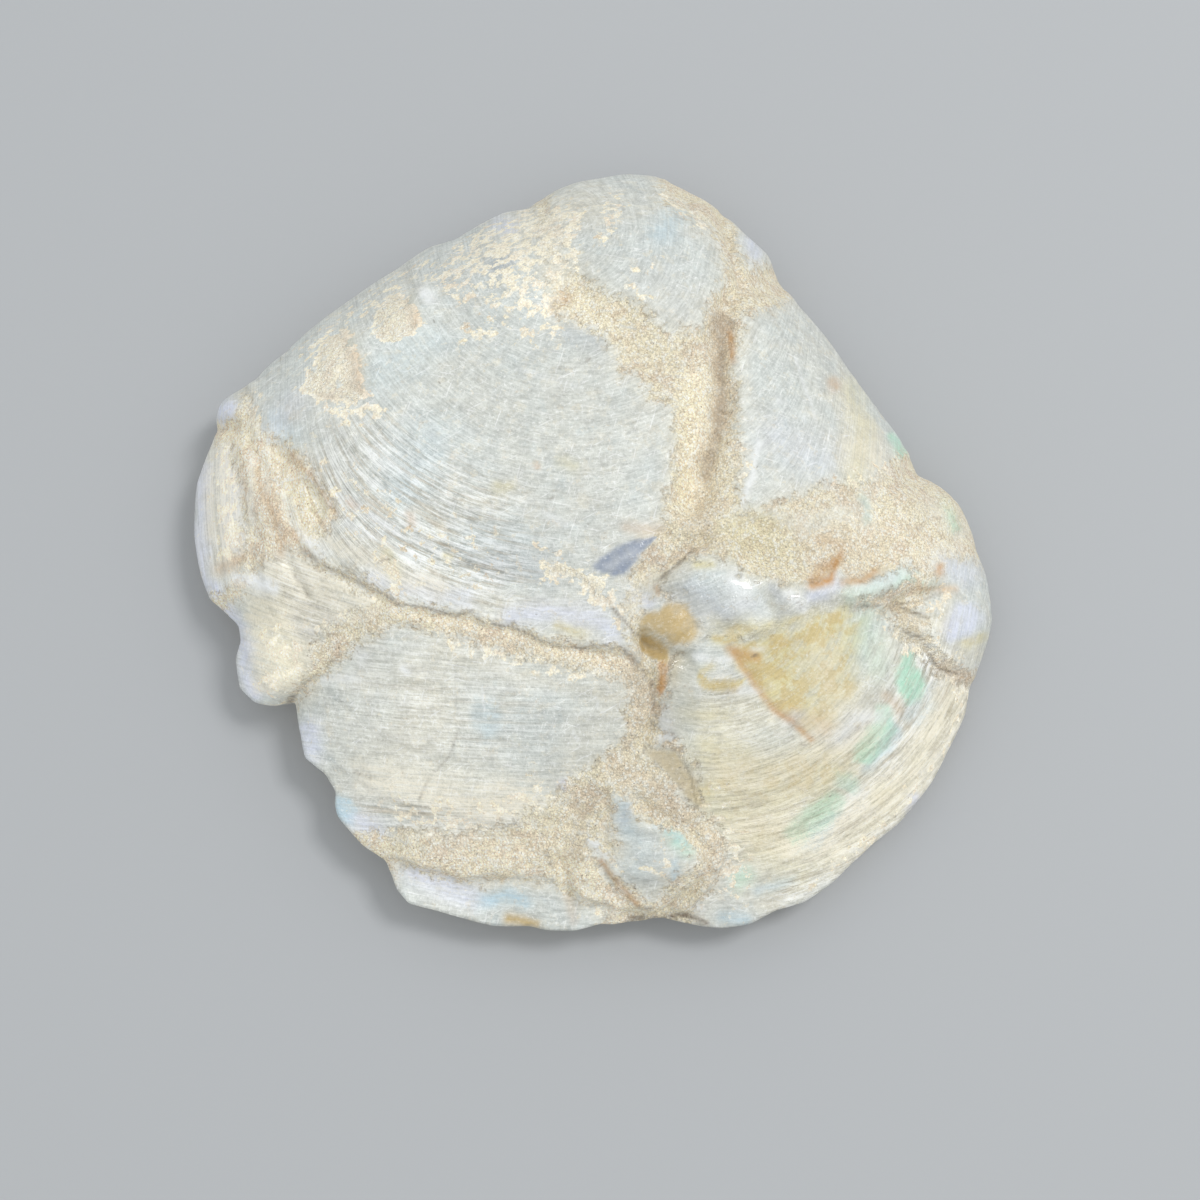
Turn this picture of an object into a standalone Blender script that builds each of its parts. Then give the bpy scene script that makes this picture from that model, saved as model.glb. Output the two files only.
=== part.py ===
"""Rough opal specimen: an opalised shell valve, broken into plates that sandy matrix holds together.

It is one cemented natural piece, so it is one closed solid. It lies on its underside, with the origin at
the middle of its footprint, X to its right, Y towards its umbo and +Z up. Lengths here are in
millimetres, and MM turns them into metres.

Landmarks are (u, v) points, in millimetres on a picture plane that faces an eye in front of the specimen
and high above it: u runs right, v runs up, and both start at LANDMARK_ORIGIN.
"""

import math
from collections import namedtuple

import bmesh
import bpy
import numpy as np

MM = 0.001
TAU = 2 * math.pi

# Driving dimensions
SPECIMEN_HEIGHT = 17.0
RIM_HEIGHT = 3.3  # of the valve's thin edge above the floor, on average
RIM_LIFT = 1.0  # how much higher the rim stands at the lower left, and lower at the upper right
RIM_LIFT_SIDE = math.radians(215)
APEX_LIFT = 2.6  # how much the dome leans towards the umbo
EDGE_THICKNESS = 1.5  # of the opal at the margin
UNDERSIDE_LEVEL = 0.72  # of the underside above the floor, between the stretches that it rests on
UNDERSIDE_RELIEF = 0.64
EDGE_FADE = 14.0  # how quickly the relief dies out towards the very edge
EDGE_KEEPS = 0.25  # what is left of the relief at the very edge, before it is smoothed
SLOPE_STEP = 0.01  # of the way out to the edge, to read the dome's slope
FLANK_ROOM = 0.6  # how far the upper flank lies in, to leave room for the plates on it
RIM_WAVE = 0.25  # how much the rim's height wanders
CHIP_SPREAD = 0.006  # radians over which the rim's chips are rounded
EVEN_SPREAD = 0.13  # radians over which the even rim, without its chips, is smoothed
FULLNESS = (2.0, 3.1)  # of the dome, at its lower and its upper side
STEEPNESS = (0.95, 0.65)  # of the dome's edge, at its lower and its upper side

# The eye that the landmarks were read from
EYE_ELEVATION = math.radians(75)
EYE_DISTANCE = 143.0
EYE_AIM = -2.91  # the v that the eye looks at
LANDMARK_ORIGIN = 8.0  # its height above the floor, over the middle

# How finely the surface is shaped, and how many triangles are kept
TOP_CELLS = 156
SIDE_RINGS = 6
UNDER_CELLS = 52
RIM_STEPS = 1440
KEPT_TRIANGLES = 9600
FLAT_WITHIN = 0.03  # the underside is flat where it is nearer than this to the floor

# The valve's edge, clockwise from the knob at the left end
RIM = (
    (-28.0, 10.3), (-27.6, 11.5), (-27.0, 12.0), (-25.2, 12.9), (-24.5, 13.8), (-23.0, 15.0),
    (-20.9, 16.9), (-18.0, 19.1), (-15.0, 21.1), (-12.6, 22.7), (-10.6, 23.2), (-9.0, 24.2),
    (-7.0, 25.2), (-5.2, 25.4), (-4.75, 25.85), (-3.0, 26.8), (-1.7, 27.3), (0.0, 27.6), (1.9, 28.0),
    (4.1, 27.8), (6.0, 27.0), (8.7, 25.4), (10.6, 23.4), (12.3, 22.0), (13.1, 20.0), (14.6, 18.0),
    (16.6, 15.8), (18.3, 13.3), (20.0, 11.0), (22.0, 8.4), (23.3, 6.1), (24.9, 5.3), (26.4, 3.9),
    (27.1, 2.2), (27.4, 0.85), (28.2, -1.1), (28.5, -3.3), (28.6, -4.3), (28.2, -6.0), (27.6, -7.7),
    (27.0, -9.3), (26.7, -11.2), (25.4, -13.9), (24.3, -16.1), (23.1, -17.7), (21.9, -19.1),
    (20.0, -20.6), (18.4, -22.1), (17.0, -23.5), (15.0, -24.9), (12.9, -25.5), (11.0, -26.5),
    (8.8, -26.8), (6.0, -26.4), (4.65, -26.1), (1.9, -26.4), (0.0, -26.5), (-1.85, -27.0),
    (-3.9, -26.95), (-5.2, -26.65), (-7.8, -26.65), (-10.0, -26.1), (-11.9, -25.55), (-14.0, -25.0),
    (-14.9, -23.9), (-15.3, -22.65), (-15.6, -21.8), (-16.9, -21.0), (-18.05, -20.0), (-19.2, -18.6),
    (-19.4, -17.7), (-19.3, -16.8), (-20.1, -15.5), (-21.6, -14.3), (-21.9, -12.6), (-22.2, -10.4),
    (-22.35, -10.05), (-23.8, -10.55), (-25.2, -10.3), (-26.3, -9.2), (-26.6, -7.05), (-26.2, -5.8),
    (-26.35, -4.65), (-27.6, -3.45), (-28.5, -2.7), (-29.15, -0.95), (-29.6, 1.95), (-29.4, 5.7),
    (-28.5, 8.2), (-27.9, 9.5),
)

# A plate is a closed outline of landmarks. Its top stands lift above the matrix at its middle, climbs by
# (east, north) for each millimetre, and rounds off over bevel at its edge.
Plate = namedtuple("Plate", "name edge lift climb bevel")
PLATES = (
    Plate(
        "main plate",
        (
            (-30.0, 16.0), (-25.8, 12.2), (-24.6, 9.6), (-23.0, 8.7), (-22.0, 7.8), (-21.0, 6.5),
            (-20.0, 5.0), (-19.4, 3.6), (-20.3, 2.6), (-21.4, 1.6), (-20.7, 0.4), (-18.5, -0.8),
            (-15.7, -2.0), (-14.5, -2.85), (-11.5, -3.3), (-9.0, -3.8), (-6.3, -4.4), (-3.5, -5.6),
            (-1.0, -5.7), (1.0, -5.9), (2.8, -6.8), (2.9, -5.6), (2.2, -4.5), (2.0, -3.0), (2.3, -1.5),
            (2.7, 0.0), (3.4, 1.2), (4.2, 2.1), (4.9, 2.8), (5.0, 4.0), (5.2, 5.0), (5.6, 6.5),
            (5.7, 8.0), (5.8, 10.5), (5.3, 12.2), (4.0, 12.6), (3.0, 14.2), (1.3, 15.0), (1.5, 16.0),
            (0.0, 17.6), (-3.0, 18.6), (-3.4, 21.0), (-5.0, 29.0), (-22.0, 27.0),
        ),
        0.95, (0.012, -0.028), 0.45,
    ),
    Plate(
        "umbo plate",
        (
            (-3.9, 31.0), (-3.4, 24.0), (-2.6, 21.9), (-0.8, 20.7), (0.5, 20.2), (2.5, 19.3), (3.5, 18.1),
            (4.5, 17.1), (6.0, 17.0), (7.5, 17.4), (8.0, 18.6), (8.1, 19.6), (9.3, 20.3), (9.4, 22.0),
            (8.9, 24.0),
            (8.3, 24.8), (6.9, 25.9), (4.5, 27.2), (4.2, 31.0),
        ),
        0.5, (0.0, 0.0), 0.7,
    ),
    Plate(
        "flake beside the umbo",
        ((9.6, 26.5), (10.2, 22.9), (11.0, 21.7), (12.2, 21.6), (14.5, 22.0), (12.5, 26.5)),
        0.55, (0.0, 0.0), 0.5,
    ),
    Plate(
        "right flank plate",
        (
            (10.3, 18.3), (10.2, 17.5), (10.0, 16.0), (9.7, 14.0), (9.7, 12.0), (10.0, 10.0), (10.3, 7.0),
            (10.1, 5.0), (9.6, 3.7), (11.5, 3.6), (14.0, 4.8), (17.0, 5.7), (20.0, 6.2), (22.0, 7.6),
            (26.0, 10.5), (18.0, 20.0), (13.9, 19.6), (12.5, 18.8), (11.5, 18.9),
        ),
        0.75, (-0.02, 0.0), 0.6,
    ),
    Plate(
        "lower left plate",
        (
            (2.4, -8.8), (1.5, -8.2), (0.0, -7.9), (-2.0, -7.4), (-4.0, -6.9), (-6.0, -6.4),
            (-8.0, -5.8), (-10.0, -5.2), (-12.0, -4.7), (-14.0, -4.4), (-15.5, -4.2), (-16.5, -4.7),
            (-18.0, -5.5), (-19.3, -7.0), (-20.3, -7.8), (-21.3, -8.6), (-22.1, -9.6), (-24.0, -12.0),
            (-22.0, -17.0), (-19.5, -20.0), (-17.0, -20.3), (-14.0, -19.9), (-10.0, -20.0),
            (-6.2, -19.5), (-5.5, -18.5), (-3.0, -17.0), (-2.5, -16.2), (-1.0, -15.3), (0.5, -14.2),
            (1.8, -12.8), (2.0, -11.5), (2.5, -10.0),
        ),
        0.3, (0.014, 0.018), 0.5,
    ),
    Plate(
        "lower right plate",
        (
            (5.6, -6.0), (6.8, -4.7), (8.0, -4.3), (10.0, -4.2), (11.0, -4.8), (12.5, -4.3), (14.0, -3.8),
            (15.5, -3.0), (17.0, -2.3), (19.5, -2.9), (21.4, -3.2), (22.3, -4.9), (23.5, -5.6), (24.0, -6.5),
            (24.8, -7.9), (26.2, -8.5), (31.0, -9.0), (29.0, -20.0), (19.0, -29.0), (6.4, -29.0),
            (6.6, -25.5),
            (7.8, -24.2), (8.8, -22.0), (8.6, -20.0), (7.7, -18.6), (7.4, -17.5), (7.1, -16.0),
            (6.6, -14.5), (5.7, -13.3), (4.5, -12.9), (4.2, -12.0), (4.3, -10.0), (4.7, -8.5), (5.0, -6.8),
        ),
        0.35, (0.0, 0.0), 0.5,
    ),
    Plate(
        "amber wedge",
        (
            (3.3, -13.6), (4.5, -13.1), (5.7, -13.4), (6.5, -14.5), (7.0, -16.0), (7.3, -17.5),
            (7.6, -18.6), (6.0, -17.6), (4.0, -14.3),
        ),
        0.45, (0.0, 0.0), 0.5,
    ),
    Plate(
        "bottom fragment",
        (
            (1.0, -16.5), (2.0, -17.0), (3.0, -18.3), (4.5, -18.9), (5.8, -19.6), (7.0, -20.8),
            (7.2, -22.0), (6.0, -23.0), (4.8, -24.2), (3.4, -24.9), (2.6, -24.5), (1.5, -23.6),
            (0.5, -22.3), (1.0, -21.0), (0.9, -19.0),
        ),
        1.25, (0.09, 0.02), 0.55,
    ),
    Plate(
        "bottom facet",
        ((-1.2, -19.6), (-0.2, -19.9), (0.5, -21.3), (0.9, -22.9), (1.6, -24.6), (0.2, -23.4), (-0.7, -21.6)),
        0.7, (0.1, 0.1), 0.6,
    ),
    Plate(
        "lower rim",
        (
            (-9.6, -23.4), (-6.0, -22.9), (-3.4, -23.4), (-1.6, -24.6), (0.6, -25.2), (1.0, -29.0),
            (-10.0, -29.0), (-17.0, -26.0), (-14.8, -21.9), (-12.6, -22.4),
        ),
        0.25, (0.0, 0.0), 0.6,
    ),
    Plate(
        "clear lump",
        (
            (7.0, 1.0), (8.5, 1.1), (9.5, 0.8), (10.3, 0.0), (12.0, -0.6), (13.3, -0.8), (13.6, -1.4),
            (15.0, -1.5), (17.0, -1.2), (18.4, -1.5), (20.0, -1.0), (22.8, 0.3), (23.6, -0.4),
            (22.5, -1.8), (21.0, -2.4), (19.5, -2.7), (18.0, -2.2), (17.0, -2.5), (15.5, -3.2),
            (14.0, -4.0), (12.5, -4.5), (11.0, -5.0), (10.0, -4.5), (8.0, -4.6), (6.8, -5.0),
            (5.2, -2.6), (4.2, -1.6), (4.9, -0.6),
        ),
        1.2, (-0.035, -0.02), 1.0,
    ),
    Plate(
        "right knob",
        (
            (23.2, -3.3), (23.9, -1.6), (25.3, 0.2), (27.5, 0.6), (30.5, -2.0), (30.5, -8.0),
            (26.6, -8.2), (25.0, -7.4), (24.2, -5.9),
        ),
        0.8, (0.0, 0.0), 1.1,
    ),
    Plate(
        "left tongue",
        (
            (-25.8, -1.2), (-24.6, 0.4), (-23.0, 1.4), (-21.6, 0.7), (-19.5, -0.6), (-17.3, -1.7),
            (-16.2, -2.4), (-17.6, -3.3), (-19.5, -4.3), (-20.8, -5.6), (-20.6, -7.0), (-21.4, -8.4),
            (-22.4, -9.4), (-23.4, -13.0), (-31.0, -11.0), (-31.0, -4.6), (-27.4, -3.4),
        ),
        0.45, (0.0, 0.0), 0.9,
    ),
    Plate(
        "left margin",
        (
            (-32.0, -3.4), (-27.6, -2.6), (-26.2, -0.6), (-25.9, 3.0), (-26.2, 6.0), (-26.9, 8.8),
            (-28.6, 9.0), (-33.0, 9.0),
        ),
        0.35, (-0.05, 0.0), 0.9,
    ),
    Plate(
        "left knob",
        (
            (-30.0, 10.0), (-28.0, 9.8), (-27.3, 10.1), (-26.6, 10.7), (-26.1, 11.8), (-25.6, 12.6),
            (-26.2, 14.0), (-29.0, 13.0),
        ),
        0.4, (0.0, 0.0), 0.6,
    ),
    Plate(
        "amber lobe",
        (
            (2.9, -2.7), (4.2, -1.8), (5.6, -2.2), (6.8, -3.4), (7.2, -5.0), (6.4, -6.2), (5.0, -6.9),
            (3.6, -6.6), (3.0, -5.2), (2.8, -3.8),
        ),
        0.7, (0.0, 0.0), 0.5,
    ),
)

# The matrix between the plates: its level under their tops, and how it is banked up against them
MATRIX_LEVEL = -0.1
MATRIX_RELIEF = 0.2
BANK_SHARE = 0.72  # of a plate's height, where the bank meets the plate
BANK_REACH = 1.3
SHELL_RIPPLE = 0.08
EDGE_WANDER = 0.22  # how far the plates' edges stray from their landmarks

# A groove follows a line of landmarks. A negative depth makes it a ridge.
Groove = namedtuple("Groove", "name line depth width")
GROOVES = (
    Groove("valley beside the vertical seam",
           ((9.6, 19.4), (9.2, 18.5), (8.7, 17.0), (8.9, 15.0), (9.0, 13.0), (8.9, 11.0), (8.5, 9.0),
            (8.0, 7.5), (7.3, 6.0), (6.9, 4.5)), 1.0, 0.9),
    Groove("crack below the sandy knot", ((7.4, 1.9), (6.2, 0.8), (5.3, 0.0), (4.3, -0.8), (3.4, -2.4)),
           0.7, 0.5),
    Groove("overhang of the main plate",
           ((-21.6, 0.9), (-20.8, 0.0), (-18.5, -1.2), (-15.7, -2.4), (-14.5, -3.2), (-11.5, -3.7),
            (-9.0, -4.2), (-6.3, -4.8), (-3.5, -6.0), (-1.0, -6.1), (1.0, -6.3), (2.8, -7.1)), 0.14, 0.35),
    Groove("lower vertical crack",
           ((3.0, -5.2), (3.4, -7.0), (3.8, -8.0), (4.0, -9.0), (4.1, -10.0), (4.0, -11.0), (3.9, -12.0),
            (3.2, -13.2)), 0.6, 0.45),
    Groove("crack of the lower left plate",
           ((-10.3, -12.0), (-11.0, -14.0), (-11.6, -14.8), (-12.5, -15.7), (-13.4, -17.7)), 0.09, 0.22),
    Groove("short crack near the rim", ((-17.9, -15.3), (-16.8, -15.8)), 0.14, 0.25),
    Groove("step of the right flank", ((11.7, 9.0), (11.0, 6.6), (10.5, 4.5)), -0.15, 0.35),
    Groove("edge of the yellow layer",
           ((9.5, -6.0), (10.2, -7.0), (11.0, -8.2), (12.0, -9.7), (13.0, -10.8), (14.0, -11.8),
            (15.0, -12.7), (16.0, -13.3)), 0.22, 0.4),
    Groove("crack left of the right knob", ((21.5, -3.0), (23.0, -3.6), (24.2, -4.1)), 0.6, 0.4),
    Groove("upper crack of the right knob", ((21.8, -2.8), (23.2, -2.6), (25.0, -1.9)), 0.5, 0.4),
    Groove("lower crack of the right knob",
           ((22.3, -4.9), (23.5, -5.5), (24.0, -6.3), (24.8, -7.6), (26.2, -8.1)), 0.5, 0.45),
    Groove("crack right of the bottom fragment",
           ((2.6, -16.9), (4.2, -18.3), (6.2, -19.2), (7.7, -20.8), (7.9, -22.4), (6.8, -23.8),
            (5.3, -25.0), (4.0, -25.9)), 0.5, 0.5),
    Groove("crack left of the bottom fragment",
           ((0.4, -16.8), (0.5, -19.0), (0.7, -21.0), (0.2, -22.2), (1.3, -23.8), (2.7, -25.2)), 0.3, 0.4),
    Groove("slit in the lower rim", ((-3.0, -22.0), (-2.4, -24.0), (-1.8, -25.6)), 0.4, 0.4),
    Groove("gap under the bottom edge", ((2.2, -26.2), (4.2, -26.1), (6.2, -26.3)), 1.2, 0.6),
    Groove("fold of the left end", ((-25.3, 11.6), (-25.5, 9.4), (-24.7, 6.5), (-23.9, 3.5), (-22.9, 0.5)),
           0.13, 0.5),
    Groove("outer fold of the left end",
           ((-26.9, 10.0), (-26.7, 7.0), (-26.0, 3.5), (-25.3, 0.5), (-25.2, -1.4)), 0.13, 0.45),
    Groove("ridge between the folds", ((-26.0, 9.5), (-25.5, 6.0), (-24.6, 2.6), (-24.2, 0.2)), -0.15, 0.5),
    Groove("foot of the left step", ((-24.4, 9.0), (-22.4, 7.4), (-20.7, 5.0), (-19.9, 3.7)), 0.12, 0.35),
    Groove("crease above the left tongue", ((-22.9, 0.2), (-22.2, -1.0), (-21.3, -2.4)), 0.25, 0.3),
    Groove("crease below the left knob", ((-28.6, 9.6), (-27.4, 9.9), (-26.4, 10.2)), 0.4, 0.35),
    Groove("seam beside the umbo", ((9.0, 25.4), (9.6, 23.5), (9.9, 21.8), (10.4, 20.6)), 0.35, 0.35),
    Groove("hollow edge of the amber lobe", ((3.0, -5.1), (4.1, -5.9), (5.2, -6.5), (6.4, -6.7)), 0.6, 0.5),
)

# A lump is an oval swelling, or a hollow where its height is negative.
LUMP_FALL = 1.1  # how quickly a lump falls off towards its radii
Lump = namedtuple("Lump", "name centre radii turn height")
LUMPS = (
    Lump("umbo", (2.2, 21.0), (7.4, 5.0), 0, 1.3),
    Lump("shoulder of the main plate", (-6.0, 7.0), (14.0, 8.0), -15, 0.7),
    Lump("sandy knot", (7.3, 2.9), (2.3, 1.5), 20, 0.8),
    Lump("slope of the vertical seam", (6.8, 11.5), (1.5, 5.5), 8, 0.25),
    Lump("crown of the clear lump", (10.2, -2.1), (3.7, 2.3), -15, 0.8),
    Lump("end of the clear lump", (14.6, -2.5), (1.9, 0.9), 10, 0.45),
    Lump("bead of the clear lump", (12.1, -1.2), (1.0, 0.6), -20, 0.25),
    Lump("ridge to the right knob", (20.5, -1.7), (3.3, 0.7), 12, 0.55),
    Lump("amber lobe", (5.2, -4.3), (2.0, 1.8), 0, 0.8),
    Lump("hollow under the amber lobe", (3.9, -6.2), (1.0, 0.8), -20, -0.6),
    Lump("right knob", (26.4, -4.4), (2.2, 2.9), 10, 1.1),
    Lump("small knob at the right end", (25.4, 3.4), (1.2, 1.9), 25, 0.45),
    Lump("left knob", (-27.3, 11.0), (1.1, 1.0), 0, 0.5),
    Lump("sand patch near the shoulder", (-15.0, 18.0), (2.1, 1.8), 0, 0.45),
    Lump("sand patch at the left shoulder", (-20.1, 14.7), (1.8, 2.7), -20, 0.4),
    Lump("white bump", (-12.8, 19.8), (0.7, 0.6), 0, 0.3),
    Lump("sand triangle at the left", (-22.6, 5.4), (1.9, 2.5), -30, 0.35),
    Lump("sand on the left fold", (-24.4, 4.6), (1.1, 3.8), 8, 0.2),
    Lump("left tongue", (-23.6, -6.4), (2.3, 3.3), 15, 0.5),
    Lump("grains below the main plate", (-2.6, -0.7), (2.3, 0.8), -15, -0.3),
    Lump("dark spot", (1.8, 0.8), (1.4, 0.8), 25, 0.2),
    Lump("hump of the bottom fragment", (4.4, -21.2), (2.2, 2.1), 0, 0.8),
    Lump("pinkish sand above the bottom fragment", (3.4, -16.6), (2.6, 1.3), -25, 0.35),
    Lump("hollow at the lower right", (12.5, -7.6), (3.2, 1.9), -45, -0.25),
    Lump("sand behind the clear lump", (19.0, 2.2), (5.5, 2.6), 12, 0.35),
)

# Growth lines run about the umbo, and near the margin they follow its edge. Each ledge steps down
# towards the margin: its distance from the umbo along the axis, its drop and its width.
UMBO = (-2.0, 25.0)
GROWTH_LENGTH = 51.5
GROWTH_NARROWING = 0.42  # how much nearer the umbo the edge is at the sides
GROWTH_BLEND = (26.0, 42.0)  # between these distances, round lines turn into lines that follow the edge
LEDGES = ((30.6, 0.1, 0.8), (35.4, 0.13, 0.8), (40.0, 0.16, 0.7), (44.2, 0.28, 0.6), (47.6, 0.4, 0.5))

# The side of the valve, in rings from its edge down to its foot: how far down each ring is, how far it
# stands back, and how much of the edge's thickness it has come down
SIDE_LEVELS = (0.0, 0.17, 0.34, 0.5, 0.67, 0.84, 1.0)
SIDE_STANDS_BACK = (0.0, 0.25, 0.6, 1.7, 2.6, 3.2, 3.6)
EDGE_LEVELS = (0.0, 0.17, 0.34)
EDGE_COMES_DOWN = (0.0, 0.4, 0.95)
RAGGED = 0.35  # how unevenly thick the edge is, and how unevenly the matrix stands back
AROUND = 30.0  # radius of the circle on which that unevenness is read

# The stretches of the underside that lie flat on the floor: middle, length, width and turn
REST_SINK = 2.08
REST_WANDER = 1.6
REST_FALL = 1.5  # where a stretch has ended, as a share of its length and width
RESTS = (
    ((0.0, 1.0), 9.5, 7.0, 20),
    ((-14.5, -4.5), 7.0, 4.0, -35),
    ((14.5, -5.5), 6.5, 4.5, 50),
    ((4.0, 15.0), 6.0, 4.2, -20),
    ((-4.0, -15.5), 7.5, 3.6, 10),
)

OPAL_COLOUR = (0.69, 0.72, 0.68, 1.0)
OPAL_ROUGHNESS = 0.42

EYE = (
    0.0,
    EYE_AIM * math.sin(EYE_ELEVATION) - EYE_DISTANCE * math.cos(EYE_ELEVATION),
    LANDMARK_ORIGIN + EYE_AIM * math.cos(EYE_ELEVATION) + EYE_DISTANCE * math.sin(EYE_ELEVATION),
)


def seen_at(x, y, z):
    """The landmark coordinates at which the eye sees a point."""
    along = (y - EYE[1]) * math.cos(EYE_ELEVATION) - (z - EYE[2]) * math.sin(EYE_ELEVATION)
    above = (y - EYE[1]) * math.sin(EYE_ELEVATION) + (z - EYE[2]) * math.cos(EYE_ELEVATION)
    return (x - EYE[0]) * EYE_DISTANCE / along, above * EYE_DISTANCE / along + EYE_AIM


def plan_at(u, v, z):
    """The x and y of the point at height z that the eye sees at a landmark."""
    on_plane_y = v * math.sin(EYE_ELEVATION)
    on_plane_z = LANDMARK_ORIGIN + v * math.cos(EYE_ELEVATION)
    share = (z - EYE[2]) / (on_plane_z - EYE[2])
    return EYE[0] + share * (u - EYE[0]), EYE[1] + share * (on_plane_y - EYE[1])


def smooth(t):
    """0 below 0, 1 above 1, and an even curve between."""
    t = np.clip(t, 0.0, 1.0)
    return t * t * (3.0 - 2.0 * t)


def lattice(ix, iy, seed):
    """A fixed number from -1 to 1 for each corner of a square lattice."""
    n = (ix * 374761393 + iy * 668265263 + seed * 1442695041) & 0xFFFFFFFF
    n = ((n ^ (n >> 13)) * 1274126177) & 0xFFFFFFFF
    return ((n ^ (n >> 16)) & 0xFFFF) / 32767.5 - 1.0


def noise(u, v, size, seed):
    """Smooth noise from -1 to 1, whose lumps are about size across."""
    u = u / size + seed * 17.3
    v = v / size - seed * 9.1
    ix = np.floor(u).astype(np.int64)
    iy = np.floor(v).astype(np.int64)
    tu = smooth(u - ix)
    tv = smooth(v - iy)
    low = lattice(ix, iy, seed) * (1 - tu) + lattice(ix + 1, iy, seed) * tu
    high = lattice(ix, iy + 1, seed) * (1 - tu) + lattice(ix + 1, iy + 1, seed) * tu
    return low * (1 - tv) + high * tv


def cloud(u, v, size, seed, layers=3):
    """Layers of noise, each half the size and half the strength of the one before."""
    total = 0.0
    for layer in range(layers):
        turn = 0.6 + 1.1 * layer
        ru = u * math.cos(turn) - v * math.sin(turn)
        rv = u * math.sin(turn) + v * math.cos(turn)
        total = total + noise(ru, rv, size / 2**layer, seed + layer) / 2**layer
    return total


def distance_to_line(u, v, line):
    """How far each point is from a line of landmarks."""
    nearest = np.full(np.shape(u), np.inf)
    for (au, av), (bu, bv) in zip(line, line[1:]):
        du, dv = bu - au, bv - av
        share = np.clip(((u - au) * du + (v - av) * dv) / (du * du + dv * dv), 0.0, 1.0)
        nearest = np.minimum(nearest, np.hypot(u - au - share * du, v - av - share * dv))
    return nearest


def depth_inside(u, v, edge):
    """How far each point is inside a closed outline, below 0 outside it."""
    closed = tuple(edge) + (edge[0],)
    inside = np.zeros(np.shape(u), dtype=bool)
    for (au, av), (bu, bv) in zip(closed, closed[1:]):
        if av != bv:
            crosses = ((av > v) != (bv > v)) & (u < (bu - au) * (v - av) / (bv - av) + au)
            inside ^= crosses
    return np.where(inside, 1.0, -1.0) * distance_to_line(u, v, closed)


def oval(u, v, lump):
    """1 at a lump's centre, falling smoothly to 0 a little past its radii."""
    turn = math.radians(lump.turn)
    du, dv = u - lump.centre[0], v - lump.centre[1]
    along = (du * math.cos(turn) + dv * math.sin(turn)) / lump.radii[0]
    across = (dv * math.cos(turn) - du * math.sin(turn)) / lump.radii[1]
    return np.exp(-LUMP_FALL * (along * along + across * across))


def growth(u, v):
    """Distance from the umbo in growth lines: round near it, and following the edge near the margin."""
    du, dv = u - UMBO[0], UMBO[1] - v
    reach = np.hypot(du, dv)
    angle = np.abs(np.arctan2(du, dv))
    edge_reach = GROWTH_LENGTH * (1.0 - GROWTH_NARROWING * smooth((angle - 0.25) / 1.15))
    by_edge = reach / edge_reach * GROWTH_LENGTH
    share = smooth((by_edge - GROWTH_BLEND[0]) / (GROWTH_BLEND[1] - GROWTH_BLEND[0]))
    return reach * (1 - share) + by_edge * share


def relief(u, v):
    """How far the surface stands above the smooth dome at each landmark."""
    wander = EDGE_WANDER * cloud(u, v, 1.8, 11)
    sway = EDGE_WANDER * cloud(u, v, 1.8, 23)
    height = MATRIX_LEVEL + MATRIX_RELIEF * cloud(u, v, 2.2, 3)
    laid = []
    for plate in PLATES:
        middle = np.mean(plate.edge, axis=0)
        inside = depth_inside(u + wander, v + sway, plate.edge)
        top = plate.lift + plate.climb[0] * (u - middle[0]) + plate.climb[1] * (v - middle[1])
        height = height + (top - height) * BANK_SHARE * np.exp(np.minimum(inside, 0.0) / BANK_REACH)
        laid.append((top, smooth(inside / plate.bevel * 0.5 + 0.5)))
    opal = np.zeros(np.shape(u))
    for top, cover in laid:
        height = height + (top - height) * cover
        opal = opal + (1.0 - opal) * cover
    age = growth(u, v)
    for place, drop, width in LEDGES:
        worn = 0.65 + 0.35 * noise(u, v, 5.0, int(place))
        height = height - worn * drop * opal * smooth((age + 0.5 * wander - place) / width)
    for groove in GROOVES:
        far = distance_to_line(u + 0.5 * wander, v + 0.5 * sway, groove.line)
        height = height - groove.depth * np.exp(-((far / groove.width) ** 2))
    for lump in LUMPS:
        height = height + lump.height * oval(u, v, lump)
    return height + SHELL_RIPPLE * cloud(u, v, 4.5, 31, 2)


def rim_height(angle):
    """Height of the valve's edge above the floor, in each direction from the middle."""
    return RIM_HEIGHT + RIM_LIFT * np.cos(angle - RIM_LIFT_SIDE) + RIM_WAVE * np.sin(5 * angle + 1.0)


def softened(radius, spread):
    """A round outline with its chips smoothed over a spread of so many radians."""
    waves = np.fft.rfft(radius)
    number = np.arange(len(waves))
    return np.fft.irfft(waves * np.exp(-0.5 * (number * spread) ** 2), len(radius))


class Outline:
    """The valve's edge in plan: its radius in each direction, with and without its chips."""

    def __init__(self):
        u, v = np.array(RIM).T
        x, y = plan_at(u, v, rim_height(np.arctan2(v, u)))
        angle = np.arctan2(y, x) % TAU
        order = np.argsort(angle)
        self.angles = np.arange(RIM_STEPS) * TAU / RIM_STEPS
        radius = np.interp(self.angles, angle[order], np.hypot(x, y)[order], period=TAU)
        self.chipped = softened(radius, CHIP_SPREAD)
        self.even = softened(radius, EVEN_SPREAD)

    def radii(self, angle):
        """The chipped and the even radius at each angle."""
        return tuple(np.interp(angle % TAU, self.angles, r, period=TAU) for r in (self.chipped, self.even))


def dome(share, angle):
    """The smooth valve: 1 at its middle and 0 at its edge, full towards the umbo and gentle below."""
    upward = 0.5 + 0.5 * np.sin(angle) * smooth(1.4 * share)
    fullness = FULLNESS[0] + (FULLNESS[1] - FULLNESS[0]) * upward
    steepness = STEEPNESS[0] + (STEEPNESS[1] - STEEPNESS[0]) * upward
    return (1.0 - np.clip(share, 0.0, 1.0) ** fullness) ** steepness


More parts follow.
